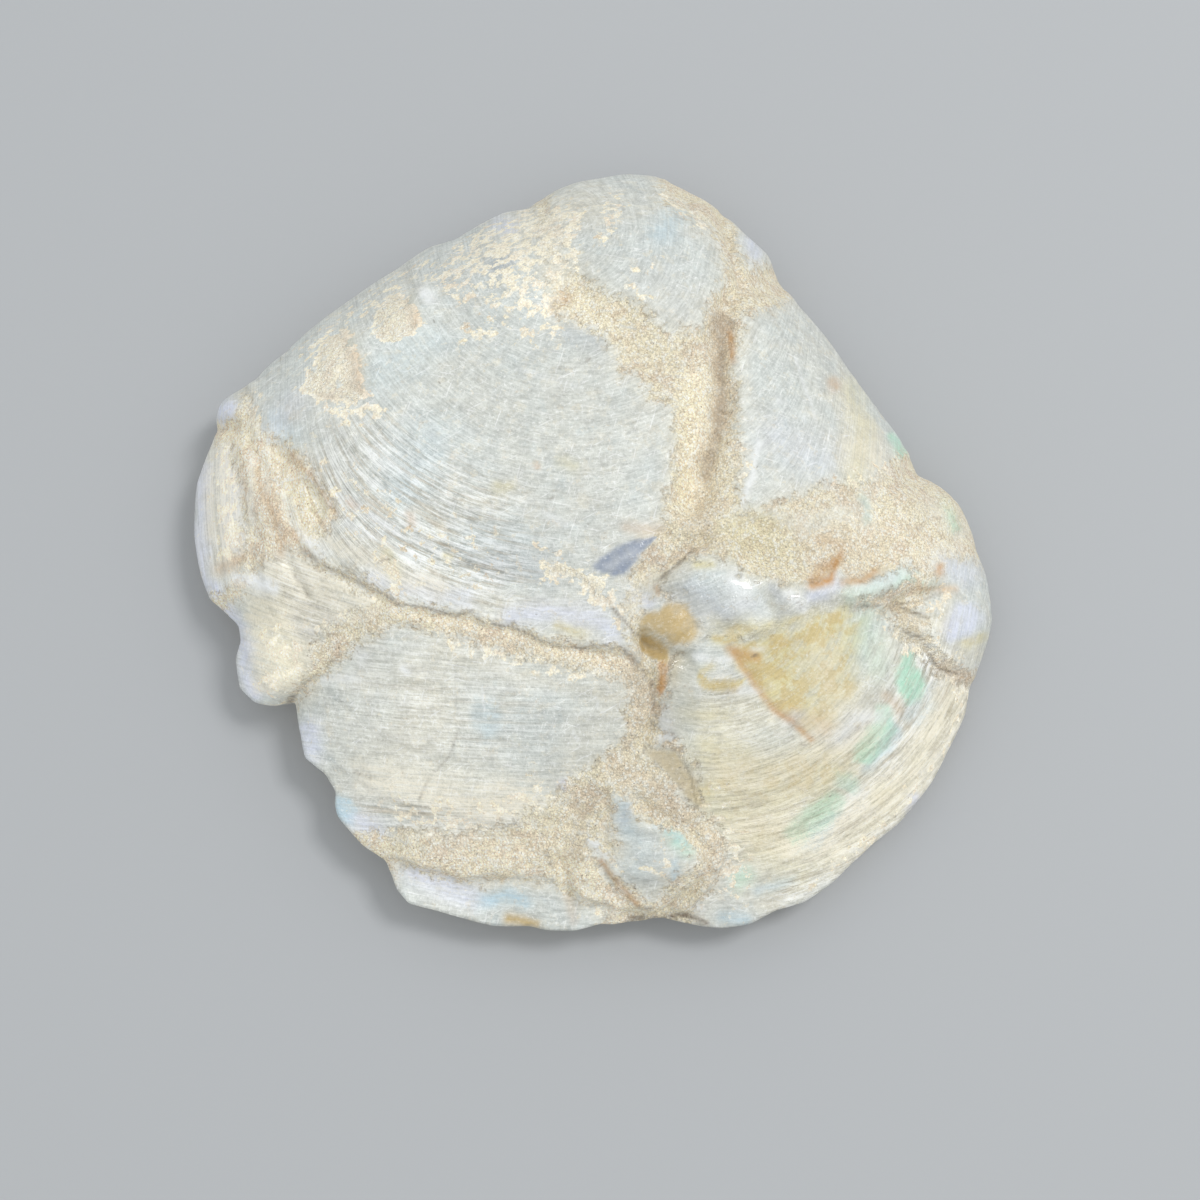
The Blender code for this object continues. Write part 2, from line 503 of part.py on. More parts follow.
def box_pattern(name):
    """A flat box of cells, -1 to 1 across, whose level runs from 0 on top to -SIDE_RINGS below."""
    bm = bmesh.new()
    bmesh.ops.create_grid(bm, x_segments=TOP_CELLS, y_segments=TOP_CELLS, size=1.0)
    ring = [e for e in bm.edges if e.is_boundary]
    for _ in range(SIDE_RINGS):
        grown = bmesh.ops.extrude_edge_only(bm, edges=ring)["geom"]
        points = [g for g in grown if isinstance(g, bmesh.types.BMVert)]
        bmesh.ops.translate(bm, verts=points, vec=(0.0, 0.0, -1.0))
        ring = [g for g in grown if isinstance(g, bmesh.types.BMEdge) and g.is_boundary]
    top = set(bm.verts)
    bmesh.ops.create_grid(bm, x_segments=UNDER_CELLS, y_segments=UNDER_CELLS, size=1.0)
    under = [v for v in bm.verts if v not in top]
    bmesh.ops.translate(bm, verts=under, vec=(0.0, 0.0, -SIDE_RINGS))
    under_faces = {f for v in under for f in v.link_faces}
    bmesh.ops.reverse_faces(bm, faces=list(under_faces))
    rim = {e for v in under for e in v.link_edges if e.is_boundary}
    bmesh.ops.subdivide_edges(bm, edges=list(rim), cuts=TOP_CELLS // UNDER_CELLS - 1)
    bmesh.ops.remove_doubles(bm, verts=bm.verts, dist=0.1 / TOP_CELLS)
    bmesh.ops.triangulate(bm, faces=bm.faces)
    bmesh.ops.recalc_face_normals(bm, faces=bm.faces)
    mesh = bpy.data.meshes.new(name)
    bm.to_mesh(mesh)
    bm.free()
    return mesh


def read_points(mesh):
    """The mesh's points as three columns."""
    flat = np.empty(len(mesh.vertices) * 3)
    mesh.vertices.foreach_get("co", flat)
    return flat.reshape(-1, 3).T


def write_points(mesh, x, y, z):
    """Moves the mesh's points."""
    mesh.vertices.foreach_set("co", np.stack((x, y, z), axis=1).ravel())
    mesh.update()


def smooth_valve(share, angle, outline):
    """The radius and height of the valve without its relief, share of the way out to its edge."""
    chipped, even = outline.radii(angle)
    radius = share * (even + (chipped - even) * share**6)
    edge = RIM_HEIGHT + (rim_height(angle) - RIM_HEIGHT) * share**2
    rise = SPECIMEN_HEIGHT - RIM_HEIGHT
    lean = APEX_LIFT * share * np.sin(angle) * (1.0 - share**2)
    return radius, edge + rise * dome(share, angle) + lean


def flank_room(share, angle):
    """How far the valve without its relief lies in, which is only near its upper edge."""
    return FLANK_ROOM * smooth(2.0 * np.sin(angle) - 0.7) * smooth((share - 0.7) * 5.0)


def top_surface(share, angle, outline):
    """The points of the upper side, out to the valve's edge, with the relief standing square to it."""
    radius, z = smooth_valve(share, angle, outline)
    near, near_z = smooth_valve(np.clip(share - SLOPE_STEP, 0.0, 1.0), angle, outline)
    far, far_z = smooth_valve(np.clip(share + SLOPE_STEP, 0.0, 1.0), angle, outline)
    slope = (near_z - far_z) / (far - near)
    u, v = seen_at(radius * np.cos(angle), radius * np.sin(angle), z)
    stands = relief(u, v) - flank_room(share, angle)
    stands = stands * smooth((1.0 - share) * EDGE_FADE + EDGE_KEEPS) / np.hypot(1.0, slope)
    radius = radius + stands * slope
    return radius * np.cos(angle), radius * np.sin(angle), z + stands


def under_height(x, y):
    """The underside: matrix with shallow hollows, flat where its high spots touch the floor."""
    wander = REST_WANDER * cloud(x, y, 5.0, 43)
    height = UNDERSIDE_LEVEL + UNDERSIDE_RELIEF * cloud(x, y, 8.0, 41)
    for (rx, ry), length, width, turned in RESTS:
        turn = math.radians(turned)
        du, dv = x - rx + wander, y - ry - wander
        along = (du * math.cos(turn) + dv * math.sin(turn)) / length
        across = (dv * math.cos(turn) - du * math.sin(turn)) / width
        height = height - REST_SINK * smooth(REST_FALL - np.hypot(along, across))
    return np.maximum(height, 0.0)


def side_surface(down, angle, outline):
    """The edge of the valve: a thin band of opal, and under it the matrix, which stands back."""
    edge_x, edge_y, edge_z = top_surface(np.ones_like(angle), angle, outline)
    _, even = outline.radii(angle)
    around = AROUND * np.cos(angle), AROUND * np.sin(angle)
    thickness = EDGE_THICKNESS * (1.0 + RAGGED * cloud(*around, 5.0, 51))
    ragged = 1.0 + RAGGED * cloud(*around, 3.0, 57)
    foot = even - SIDE_STANDS_BACK[-1]
    inner = np.hypot(edge_x, edge_y) - np.interp(down, SIDE_LEVELS, SIDE_STANDS_BACK) * ragged
    inner = inner + (foot - inner) * smooth(down * 2.0 - 1.0)
    x, y = inner * np.cos(angle), inner * np.sin(angle)
    low = under_height(x, y)
    on_edge = np.interp(down, EDGE_LEVELS, EDGE_COMES_DOWN) * thickness
    on_matrix = thickness + (edge_z - thickness - low) * smooth((down - 0.34) / 0.66)
    fall = np.where(down < 0.4, on_edge, on_matrix)
    return x, y, edge_z - np.minimum(fall, edge_z - low)


def specimen_points(a, b, level, outline):
    """Turns the box pattern's points into the specimen's."""
    reach = np.maximum(np.abs(a), np.abs(b))
    wide = np.abs(a) >= np.abs(b)
    slope = np.where(wide, b, a) / np.where(reach > 0, np.where(wide, a, b), 1.0)
    angle = np.where(wide, np.where(a < 0, math.pi, 0.0) + slope * math.pi / 4,
                     np.where(b < 0, -0.5, 0.5) * math.pi - slope * math.pi / 4)
    x, y, z = top_surface(reach, angle, outline)
    _, even = outline.radii(angle)

    on_side = (level < -0.5) & (reach > 1.0 - 0.5 / TOP_CELLS)
    below = (level < 0.5 - SIDE_RINGS) & ~on_side
    down = np.clip(-level / SIDE_RINGS, 0.0, 1.0)
    side = side_surface(down[on_side], angle[on_side], outline)
    foot = (even - SIDE_STANDS_BACK[-1]) * reach
    under_x, under_y = (foot * np.cos(angle))[below], (foot * np.sin(angle))[below]
    under = under_x, under_y, under_height(under_x, under_y)
    for whole, edge_part, under_part in zip((x, y, z), side, under):
        whole[on_side] = edge_part
        whole[below] = under_part
    return x, y, z


def thinned(thing, kept):
    """Replaces the object's mesh by one with about so many triangles, its shape kept."""
    modifier = thing.modifiers.new("Decimate", "DECIMATE")
    modifier.ratio = kept / len(thing.data.polygons)
    evaluated = thing.evaluated_get(bpy.context.evaluated_depsgraph_get())
    coarse = bpy.data.meshes.new_from_object(evaluated)
    coarse.name = thing.name
    thing.modifiers.clear()
    thing.data = coarse


def settle(mesh):
    """Rests the mesh on the floor with its box centred on the origin, at the specimen's height."""
    x, y, z = read_points(mesh)
    z = np.where(z < FLAT_WITHIN, 0.0, z)
    z = z * SPECIMEN_HEIGHT / z.max()
    write_points(mesh, (x - (x.min() + x.max()) / 2) * MM, (y - (y.min() + y.max()) / 2) * MM, z * MM)


def opal_material():
    """Milky opal under a thin sandy coat, as one plain finish."""
    material = bpy.data.materials.new("milky_opal")
    material.use_nodes = True
    shader = material.node_tree.nodes["Principled BSDF"]
    shader.inputs["Base Color"].default_value = OPAL_COLOUR
    shader.inputs["Roughness"].default_value = OPAL_ROUGHNESS
    shader.inputs["Metallic"].default_value = 0.0
    return material


def build_specimen():
    """The whole specimen as one closed solid."""
    mesh = box_pattern("opal_specimen")
    a, b, level = read_points(mesh)
    write_points(mesh, *specimen_points(a, b, level, Outline()))
    thing = bpy.data.objects.new("opal_specimen", mesh)
    bpy.context.collection.objects.link(thing)
    thinned(thing, KEPT_TRIANGLES)
    settle(thing.data)
    thing.data.materials.append(opal_material())
    return thing


for old in list(bpy.data.objects):
    bpy.data.objects.remove(old, do_unlink=True)
build_specimen()
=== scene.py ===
"""Looks of the rough opal specimen: milky opal plates with growth lines and green fire, in sandy matrix.

Lengths inside the shape functions are millimetres, and MM turns them into metres. Landmarks are (u, v)
points in millimetres on a picture plane that faces the camera: u runs right and v runs up.
"""

import math
from collections import namedtuple

import bmesh
import bpy
import numpy as np
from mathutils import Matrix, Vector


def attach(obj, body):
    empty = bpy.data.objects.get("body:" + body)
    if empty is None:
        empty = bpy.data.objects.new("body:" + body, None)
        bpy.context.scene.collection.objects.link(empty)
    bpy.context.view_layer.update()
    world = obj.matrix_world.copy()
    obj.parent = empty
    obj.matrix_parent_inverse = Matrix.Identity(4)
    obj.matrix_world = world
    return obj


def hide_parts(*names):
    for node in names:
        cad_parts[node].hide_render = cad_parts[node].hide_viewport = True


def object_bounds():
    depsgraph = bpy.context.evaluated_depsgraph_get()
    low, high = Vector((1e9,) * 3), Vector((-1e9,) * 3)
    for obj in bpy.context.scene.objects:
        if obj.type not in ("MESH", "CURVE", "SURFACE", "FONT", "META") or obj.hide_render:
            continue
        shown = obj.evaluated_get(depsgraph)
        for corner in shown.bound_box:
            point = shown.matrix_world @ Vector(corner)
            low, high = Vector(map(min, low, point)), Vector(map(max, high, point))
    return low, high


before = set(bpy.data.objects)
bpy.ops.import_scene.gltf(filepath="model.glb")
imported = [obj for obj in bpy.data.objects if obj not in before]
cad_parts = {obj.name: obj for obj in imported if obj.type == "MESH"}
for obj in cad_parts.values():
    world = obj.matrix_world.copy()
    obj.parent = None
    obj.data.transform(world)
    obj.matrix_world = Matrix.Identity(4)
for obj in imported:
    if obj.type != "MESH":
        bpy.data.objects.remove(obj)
cad_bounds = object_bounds()

bl_info = {
    "name": "Rough opal specimen",
    "version": (1, 0, 0),
    "blender": (4, 5, 0),
    "location": "3D View > Sidebar > Opal",
    "description": "Builds an opalised shell valve with sandy matrix, its floor, lights and camera",
    "category": "Add Mesh",
}

NODE = "opal_specimen"
MM = 0.001
TAU = 2 * math.pi

# The valve's form, as in the solid
EDGE_FADE = 14.0  # how quickly the relief dies out towards the very edge
EDGE_KEEPS = 0.25  # what is left of the relief at the very edge, before it is smoothed
SLOPE_STEP = 0.01  # of the way out to the edge, to read the dome's slope
FLANK_ROOM = 0.6  # how far the upper flank lies in, to leave room for the plates on it
RIM_WAVE = 0.25  # how much the rim's height wanders
CHIP_SPREAD = 0.006  # radians over which the rim's chips are rounded
EVEN_SPREAD = 0.13  # radians over which the even rim, without its chips, is smoothed
FULLNESS = (2.0, 3.1)  # of the dome, at its lower and its upper side
STEEPNESS = (0.95, 0.65)  # of the dome's edge, at its lower and its upper side
RIM_LIFT = 1.0  # how much higher the rim stands at the lower left, and lower at the upper right
RIM_LIFT_SIDE = math.radians(215)
APEX_LIFT = 2.6  # how much the dome leans towards the umbo
UNDERSIDE_LEVEL = 0.72  # of the underside above the floor, between the stretches that it rests on
UNDERSIDE_RELIEF = 0.64
RIM_STEPS = 1440

# The eye that the landmarks were read from, which is also the camera
EYE_ELEVATION = math.radians(75)
EYE_DISTANCE = 143.0
EYE_AIM = -2.91  # the v that the eye looks at
EYE_ANGLE = math.radians(34)
LANDMARK_ORIGIN = 8.0  # its height above the floor, over the middle

# The skin's cells: the upper side, the rings down its edge and the underside
TOP_CELLS = 276
SIDE_RINGS = 8
UNDER_CELLS = 92

# The valve's edge, clockwise from the knob at the left end
RIM = (
    (-28.0, 10.3), (-27.6, 11.5), (-27.0, 12.0), (-25.2, 12.9), (-24.5, 13.8), (-23.0, 15.0),
    (-20.9, 16.9), (-18.0, 19.1), (-15.0, 21.1), (-12.6, 22.7), (-10.6, 23.2), (-9.0, 24.2),
    (-7.0, 25.2), (-5.2, 25.4), (-4.75, 25.85), (-3.0, 26.8), (-1.7, 27.3), (0.0, 27.6), (1.9, 28.0),
    (4.1, 27.8), (6.0, 27.0), (8.7, 25.4), (10.6, 23.4), (12.3, 22.0), (13.1, 20.0), (14.6, 18.0),
    (16.6, 15.8), (18.3, 13.3), (20.0, 11.0), (22.0, 8.4), (23.3, 6.1), (24.9, 5.3), (26.4, 3.9),
    (27.1, 2.2), (27.4, 0.85), (28.2, -1.1), (28.5, -3.3), (28.6, -4.3), (28.2, -6.0), (27.6, -7.7),
    (27.0, -9.3), (26.7, -11.2), (25.4, -13.9), (24.3, -16.1), (23.1, -17.7), (21.9, -19.1),
    (20.0, -20.6), (18.4, -22.1), (17.0, -23.5), (15.0, -24.9), (12.9, -25.5), (11.0, -26.5),
    (8.8, -26.8), (6.0, -26.4), (4.65, -26.1), (1.9, -26.4), (0.0, -26.5), (-1.85, -27.0),
    (-3.9, -26.95), (-5.2, -26.65), (-7.8, -26.65), (-10.0, -26.1), (-11.9, -25.55), (-14.0, -25.0),
    (-14.9, -23.9), (-15.3, -22.65), (-15.6, -21.8), (-16.9, -21.0), (-18.05, -20.0), (-19.2, -18.6),
    (-19.4, -17.7), (-19.3, -16.8), (-20.1, -15.5), (-21.6, -14.3), (-21.9, -12.6), (-22.2, -10.4),
    (-22.35, -10.05), (-23.8, -10.55), (-25.2, -10.3), (-26.3, -9.2), (-26.6, -7.05), (-26.2, -5.8),
    (-26.35, -4.65), (-27.6, -3.45), (-28.5, -2.7), (-29.15, -0.95), (-29.6, 1.95), (-29.4, 5.7),
    (-28.5, 8.2), (-27.9, 9.5),
)

# A plate is a closed outline of landmarks. Its top stands lift above the matrix at its middle, climbs by
# (east, north) for each millimetre, and rounds off over bevel at its edge.
Plate = namedtuple("Plate", "name edge lift climb bevel")
PLATES = (
    Plate(
        "main plate",
        (
            (-30.0, 16.0), (-25.8, 12.2), (-24.6, 9.6), (-23.0, 8.7), (-22.0, 7.8), (-21.0, 6.5),
            (-20.0, 5.0), (-19.4, 3.6), (-20.3, 2.6), (-21.4, 1.6), (-20.7, 0.4), (-18.5, -0.8),
            (-15.7, -2.0), (-14.5, -2.85), (-11.5, -3.3), (-9.0, -3.8), (-6.3, -4.4), (-3.5, -5.6),
            (-1.0, -5.7), (1.0, -5.9), (2.8, -6.8), (2.9, -5.6), (2.2, -4.5), (2.0, -3.0), (2.3, -1.5),
            (2.7, 0.0), (3.4, 1.2), (4.2, 2.1), (4.9, 2.8), (5.0, 4.0), (5.2, 5.0), (5.6, 6.5),
            (5.7, 8.0), (5.8, 10.5), (5.3, 12.2), (4.0, 12.6), (3.0, 14.2), (1.3, 15.0), (1.5, 16.0),
            (0.0, 17.6), (-3.0, 18.6), (-3.4, 21.0), (-5.0, 29.0), (-22.0, 27.0),
        ),
        0.95, (0.012, -0.028), 0.45,
    ),
    Plate(
        "umbo plate",
        (
            (-3.9, 31.0), (-3.4, 24.0), (-2.6, 21.9), (-0.8, 20.7), (0.5, 20.2), (2.5, 19.3), (3.5, 18.1),
            (4.5, 17.1), (6.0, 17.0), (7.5, 17.4), (8.0, 18.6), (8.1, 19.6), (9.3, 20.3), (9.4, 22.0),
            (8.9, 24.0),
            (8.3, 24.8), (6.9, 25.9), (4.5, 27.2), (4.2, 31.0),
        ),
        0.5, (0.0, 0.0), 0.7,
    ),
    Plate(
        "flake beside the umbo",
        ((9.6, 26.5), (10.2, 22.9), (11.0, 21.7), (12.2, 21.6), (14.5, 22.0), (12.5, 26.5)),
        0.55, (0.0, 0.0), 0.5,
    ),
    Plate(
        "right flank plate",
        (
            (10.3, 18.3), (10.2, 17.5), (10.0, 16.0), (9.7, 14.0), (9.7, 12.0), (10.0, 10.0), (10.3, 7.0),
            (10.1, 5.0), (9.6, 3.7), (11.5, 3.6), (14.0, 4.8), (17.0, 5.7), (20.0, 6.2), (22.0, 7.6),
            (26.0, 10.5), (18.0, 20.0), (13.9, 19.6), (12.5, 18.8), (11.5, 18.9),
        ),
        0.75, (-0.02, 0.0), 0.6,
    ),
    Plate(
        "lower left plate",
        (
            (2.4, -8.8), (1.5, -8.2), (0.0, -7.9), (-2.0, -7.4), (-4.0, -6.9), (-6.0, -6.4),
            (-8.0, -5.8), (-10.0, -5.2), (-12.0, -4.7), (-14.0, -4.4), (-15.5, -4.2), (-16.5, -4.7),
            (-18.0, -5.5), (-19.3, -7.0), (-20.3, -7.8), (-21.3, -8.6), (-22.1, -9.6), (-24.0, -12.0),
            (-22.0, -17.0), (-19.5, -20.0), (-17.0, -20.3), (-14.0, -19.9), (-10.0, -20.0),
            (-6.2, -19.5), (-5.5, -18.5), (-3.0, -17.0), (-2.5, -16.2), (-1.0, -15.3), (0.5, -14.2),
            (1.8, -12.8), (2.0, -11.5), (2.5, -10.0),
        ),
        0.3, (0.014, 0.018), 0.5,
    ),
    Plate(
        "lower right plate",
        (
            (5.6, -6.0), (6.8, -4.7), (8.0, -4.3), (10.0, -4.2), (11.0, -4.8), (12.5, -4.3), (14.0, -3.8),
            (15.5, -3.0), (17.0, -2.3), (19.5, -2.9), (21.4, -3.2), (22.3, -4.9), (23.5, -5.6),
               (24.0, -6.5),
            (24.8, -7.9), (26.2, -8.5), (31.0, -9.0), (29.0, -20.0), (19.0, -29.0), (6.4, -29.0),
            (6.6, -25.5),
            (7.8, -24.2), (8.8, -22.0), (8.6, -20.0), (7.7, -18.6), (7.4, -17.5), (7.1, -16.0),
            (6.6, -14.5), (5.7, -13.3), (4.5, -12.9), (4.2, -12.0), (4.3, -10.0), (4.7, -8.5),
               (5.0, -6.8),
        ),
        0.35, (0.0, 0.0), 0.5,
    ),
    Plate(
        "amber wedge",
        (
            (3.3, -13.6), (4.5, -13.1), (5.7, -13.4), (6.5, -14.5), (7.0, -16.0), (7.3, -17.5),
            (7.6, -18.6), (6.0, -17.6), (4.0, -14.3),
        ),
        0.45, (0.0, 0.0), 0.5,
    ),
    Plate(
        "bottom fragment",
        (
            (1.0, -16.5), (2.0, -17.0), (3.0, -18.3), (4.5, -18.9), (5.8, -19.6), (7.0, -20.8),
            (7.2, -22.0), (6.0, -23.0), (4.8, -24.2), (3.4, -24.9), (2.6, -24.5), (1.5, -23.6),
            (0.5, -22.3), (1.0, -21.0), (0.9, -19.0),
        ),
        1.25, (0.09, 0.02), 0.55,
    ),
    Plate(
        "bottom facet",
        ((-1.2, -19.6), (-0.2, -19.9), (0.5, -21.3), (0.9, -22.9), (1.6, -24.6), (0.2, -23.4),
               (-0.7, -21.6)),
        0.7, (0.1, 0.1), 0.6,
    ),
    Plate(
        "lower rim",
        (
            (-9.6, -23.4), (-6.0, -22.9), (-3.4, -23.4), (-1.6, -24.6), (0.6, -25.2), (1.0, -29.0),
            (-10.0, -29.0), (-17.0, -26.0), (-14.8, -21.9), (-12.6, -22.4),
        ),
        0.25, (0.0, 0.0), 0.6,
    ),
    Plate(
        "clear lump",
        (
            (7.0, 1.0), (8.5, 1.1), (9.5, 0.8), (10.3, 0.0), (12.0, -0.6), (13.3, -0.8), (13.6, -1.4),
            (15.0, -1.5), (17.0, -1.2), (18.4, -1.5), (20.0, -1.0), (22.8, 0.3), (23.6, -0.4),
            (22.5, -1.8), (21.0, -2.4), (19.5, -2.7), (18.0, -2.2), (17.0, -2.5), (15.5, -3.2),
            (14.0, -4.0), (12.5, -4.5), (11.0, -5.0), (10.0, -4.5), (8.0, -4.6), (6.8, -5.0),
            (5.2, -2.6), (4.2, -1.6), (4.9, -0.6),
        ),
        1.2, (-0.035, -0.02), 1.0,
    ),
    Plate(
        "right knob",
        (
            (23.2, -3.3), (23.9, -1.6), (25.3, 0.2), (27.5, 0.6), (30.5, -2.0), (30.5, -8.0),
            (26.6, -8.2), (25.0, -7.4), (24.2, -5.9),
        ),
        0.8, (0.0, 0.0), 1.1,
    ),
    Plate(
        "left tongue",
        (
            (-25.8, -1.2), (-24.6, 0.4), (-23.0, 1.4), (-21.6, 0.7), (-19.5, -0.6), (-17.3, -1.7),
            (-16.2, -2.4), (-17.6, -3.3), (-19.5, -4.3), (-20.8, -5.6), (-20.6, -7.0), (-21.4, -8.4),
            (-22.4, -9.4), (-23.4, -13.0), (-31.0, -11.0), (-31.0, -4.6), (-27.4, -3.4),
        ),
        0.45, (0.0, 0.0), 0.9,
    ),
    Plate(
        "left margin",
        (
            (-32.0, -3.4), (-27.6, -2.6), (-26.2, -0.6), (-25.9, 3.0), (-26.2, 6.0), (-26.9, 8.8),
            (-28.6, 9.0), (-33.0, 9.0),
        ),
        0.35, (-0.05, 0.0), 0.9,
    ),
    Plate(
        "left knob",
        (
            (-30.0, 10.0), (-28.0, 9.8), (-27.3, 10.1), (-26.6, 10.7), (-26.1, 11.8), (-25.6, 12.6),
            (-26.2, 14.0), (-29.0, 13.0),
        ),
        0.4, (0.0, 0.0), 0.6,
    ),
    Plate(
        "amber lobe",
        (
            (2.9, -2.7), (4.2, -1.8), (5.6, -2.2), (6.8, -3.4), (7.2, -5.0), (6.4, -6.2), (5.0, -6.9),
            (3.6, -6.6), (3.0, -5.2), (2.8, -3.8),
        ),
        0.7, (0.0, 0.0), 0.5,
    ),
)

# The matrix between the plates: its level under their tops, and how it is banked up against them
MATRIX_LEVEL = -0.1
MATRIX_RELIEF = 0.2
BANK_SHARE = 0.72  # of a plate's height, where the bank meets the plate
BANK_REACH = 1.3
SHELL_RIPPLE = 0.08
EDGE_WANDER = 0.22  # how far the plates' edges stray from their landmarks

# A groove follows a line of landmarks. A negative depth makes it a ridge.
Groove = namedtuple("Groove", "name line depth width")
GROOVES = (
    Groove("valley beside the vertical seam",
           ((9.6, 19.4), (9.2, 18.5), (8.7, 17.0), (8.9, 15.0), (9.0, 13.0), (8.9, 11.0), (8.5, 9.0),
            (8.0, 7.5), (7.3, 6.0), (6.9, 4.5)), 1.0, 0.9),
    Groove("crack below the sandy knot", ((7.4, 1.9), (6.2, 0.8), (5.3, 0.0), (4.3, -0.8), (3.4, -2.4)),
           0.7, 0.5),
    Groove("overhang of the main plate",
           ((-21.6, 0.9), (-20.8, 0.0), (-18.5, -1.2), (-15.7, -2.4), (-14.5, -3.2), (-11.5, -3.7),
            (-9.0, -4.2), (-6.3, -4.8), (-3.5, -6.0), (-1.0, -6.1), (1.0, -6.3), (2.8, -7.1)),
               0.14, 0.35),
    Groove("lower vertical crack",
           ((3.0, -5.2), (3.4, -7.0), (3.8, -8.0), (4.0, -9.0), (4.1, -10.0), (4.0, -11.0), (3.9, -12.0),
            (3.2, -13.2)), 0.6, 0.45),
    Groove("crack of the lower left plate",
           ((-10.3, -12.0), (-11.0, -14.0), (-11.6, -14.8), (-12.5, -15.7), (-13.4, -17.7)), 0.09, 0.22),
    Groove("short crack near the rim", ((-17.9, -15.3), (-16.8, -15.8)), 0.14, 0.25),
    Groove("step of the right flank", ((11.7, 9.0), (11.0, 6.6), (10.5, 4.5)), -0.15, 0.35),
    Groove("edge of the yellow layer",
           ((9.5, -6.0), (10.2, -7.0), (11.0, -8.2), (12.0, -9.7), (13.0, -10.8), (14.0, -11.8),
            (15.0, -12.7), (16.0, -13.3)), 0.22, 0.4),
    Groove("crack left of the right knob", ((21.5, -3.0), (23.0, -3.6), (24.2, -4.1)), 0.6, 0.4),
    Groove("upper crack of the right knob", ((21.8, -2.8), (23.2, -2.6), (25.0, -1.9)), 0.5, 0.4),
    Groove("lower crack of the right knob",
           ((22.3, -4.9), (23.5, -5.5), (24.0, -6.3), (24.8, -7.6), (26.2, -8.1)), 0.5, 0.45),
    Groove("crack right of the bottom fragment",
           ((2.6, -16.9), (4.2, -18.3), (6.2, -19.2), (7.7, -20.8), (7.9, -22.4), (6.8, -23.8),
            (5.3, -25.0), (4.0, -25.9)), 0.5, 0.5),
    Groove("crack left of the bottom fragment",
           ((0.4, -16.8), (0.5, -19.0), (0.7, -21.0), (0.2, -22.2), (1.3, -23.8), (2.7, -25.2)),
               0.3, 0.4),
    Groove("slit in the lower rim", ((-3.0, -22.0), (-2.4, -24.0), (-1.8, -25.6)), 0.4, 0.4),
    Groove("gap under the bottom edge", ((2.2, -26.2), (4.2, -26.1), (6.2, -26.3)), 1.2, 0.6),
    Groove("fold of the left end", ((-25.3, 11.6), (-25.5, 9.4), (-24.7, 6.5), (-23.9, 3.5), (-22.9, 0.5)),
           0.13, 0.5),
    Groove("outer fold of the left end",
           ((-26.9, 10.0), (-26.7, 7.0), (-26.0, 3.5), (-25.3, 0.5), (-25.2, -1.4)), 0.13, 0.45),
    Groove("ridge between the folds", ((-26.0, 9.5), (-25.5, 6.0), (-24.6, 2.6), (-24.2, 0.2)), -0.15, 0.5),
    Groove("foot of the left step", ((-24.4, 9.0), (-22.4, 7.4), (-20.7, 5.0), (-19.9, 3.7)), 0.12, 0.35),
    Groove("crease above the left tongue", ((-22.9, 0.2), (-22.2, -1.0), (-21.3, -2.4)), 0.25, 0.3),
    Groove("crease below the left knob", ((-28.6, 9.6), (-27.4, 9.9), (-26.4, 10.2)), 0.4, 0.35),
    Groove("seam beside the umbo", ((9.0, 25.4), (9.6, 23.5), (9.9, 21.8), (10.4, 20.6)), 0.35, 0.35),
    Groove("hollow edge of the amber lobe", ((3.0, -5.1), (4.1, -5.9), (5.2, -6.5), (6.4, -6.7)), 0.6, 0.5),
)

# A lump is an oval swelling, or a hollow where its height is negative.
LUMP_FALL = 1.1  # how quickly a lump falls off towards its radii
Lump = namedtuple("Lump", "name centre radii turn height")
LUMPS = (
    Lump("umbo", (2.2, 21.0), (7.4, 5.0), 0, 1.3),
    Lump("shoulder of the main plate", (-6.0, 7.0), (14.0, 8.0), -15, 0.7),
    Lump("sandy knot", (7.3, 2.9), (2.3, 1.5), 20, 0.8),
    Lump("slope of the vertical seam", (6.8, 11.5), (1.5, 5.5), 8, 0.25),
    Lump("crown of the clear lump", (10.2, -2.1), (3.7, 2.3), -15, 0.8),
    Lump("end of the clear lump", (14.6, -2.5), (1.9, 0.9), 10, 0.45),
    Lump("bead of the clear lump", (12.1, -1.2), (1.0, 0.6), -20, 0.25),
    Lump("ridge to the right knob", (20.5, -1.7), (3.3, 0.7), 12, 0.55),
    Lump("amber lobe", (5.2, -4.3), (2.0, 1.8), 0, 0.8),
    Lump("hollow under the amber lobe", (3.9, -6.2), (1.0, 0.8), -20, -0.6),
    Lump("right knob", (26.4, -4.4), (2.2, 2.9), 10, 1.1),
    Lump("small knob at the right end", (25.4, 3.4), (1.2, 1.9), 25, 0.45),
    Lump("left knob", (-27.3, 11.0), (1.1, 1.0), 0, 0.5),
    Lump("sand patch near the shoulder", (-15.0, 18.0), (2.1, 1.8), 0, 0.45),
    Lump("sand patch at the left shoulder", (-20.1, 14.7), (1.8, 2.7), -20, 0.4),
    Lump("white bump", (-12.8, 19.8), (0.7, 0.6), 0, 0.3),
    Lump("sand triangle at the left", (-22.6, 5.4), (1.9, 2.5), -30, 0.35),
    Lump("sand on the left fold", (-24.4, 4.6), (1.1, 3.8), 8, 0.2),
    Lump("left tongue", (-23.6, -6.4), (2.3, 3.3), 15, 0.5),
    Lump("grains below the main plate", (-2.6, -0.7), (2.3, 0.8), -15, -0.3),
    Lump("dark spot", (1.8, 0.8), (1.4, 0.8), 25, 0.2),
    Lump("hump of the bottom fragment", (4.4, -21.2), (2.2, 2.1), 0, 0.8),
    Lump("pinkish sand above the bottom fragment", (3.4, -16.6), (2.6, 1.3), -25, 0.35),
    Lump("hollow at the lower right", (12.5, -7.6), (3.2, 1.9), -45, -0.25),
    Lump("sand behind the clear lump", (19.0, 2.2), (5.5, 2.6), 12, 0.35),
)

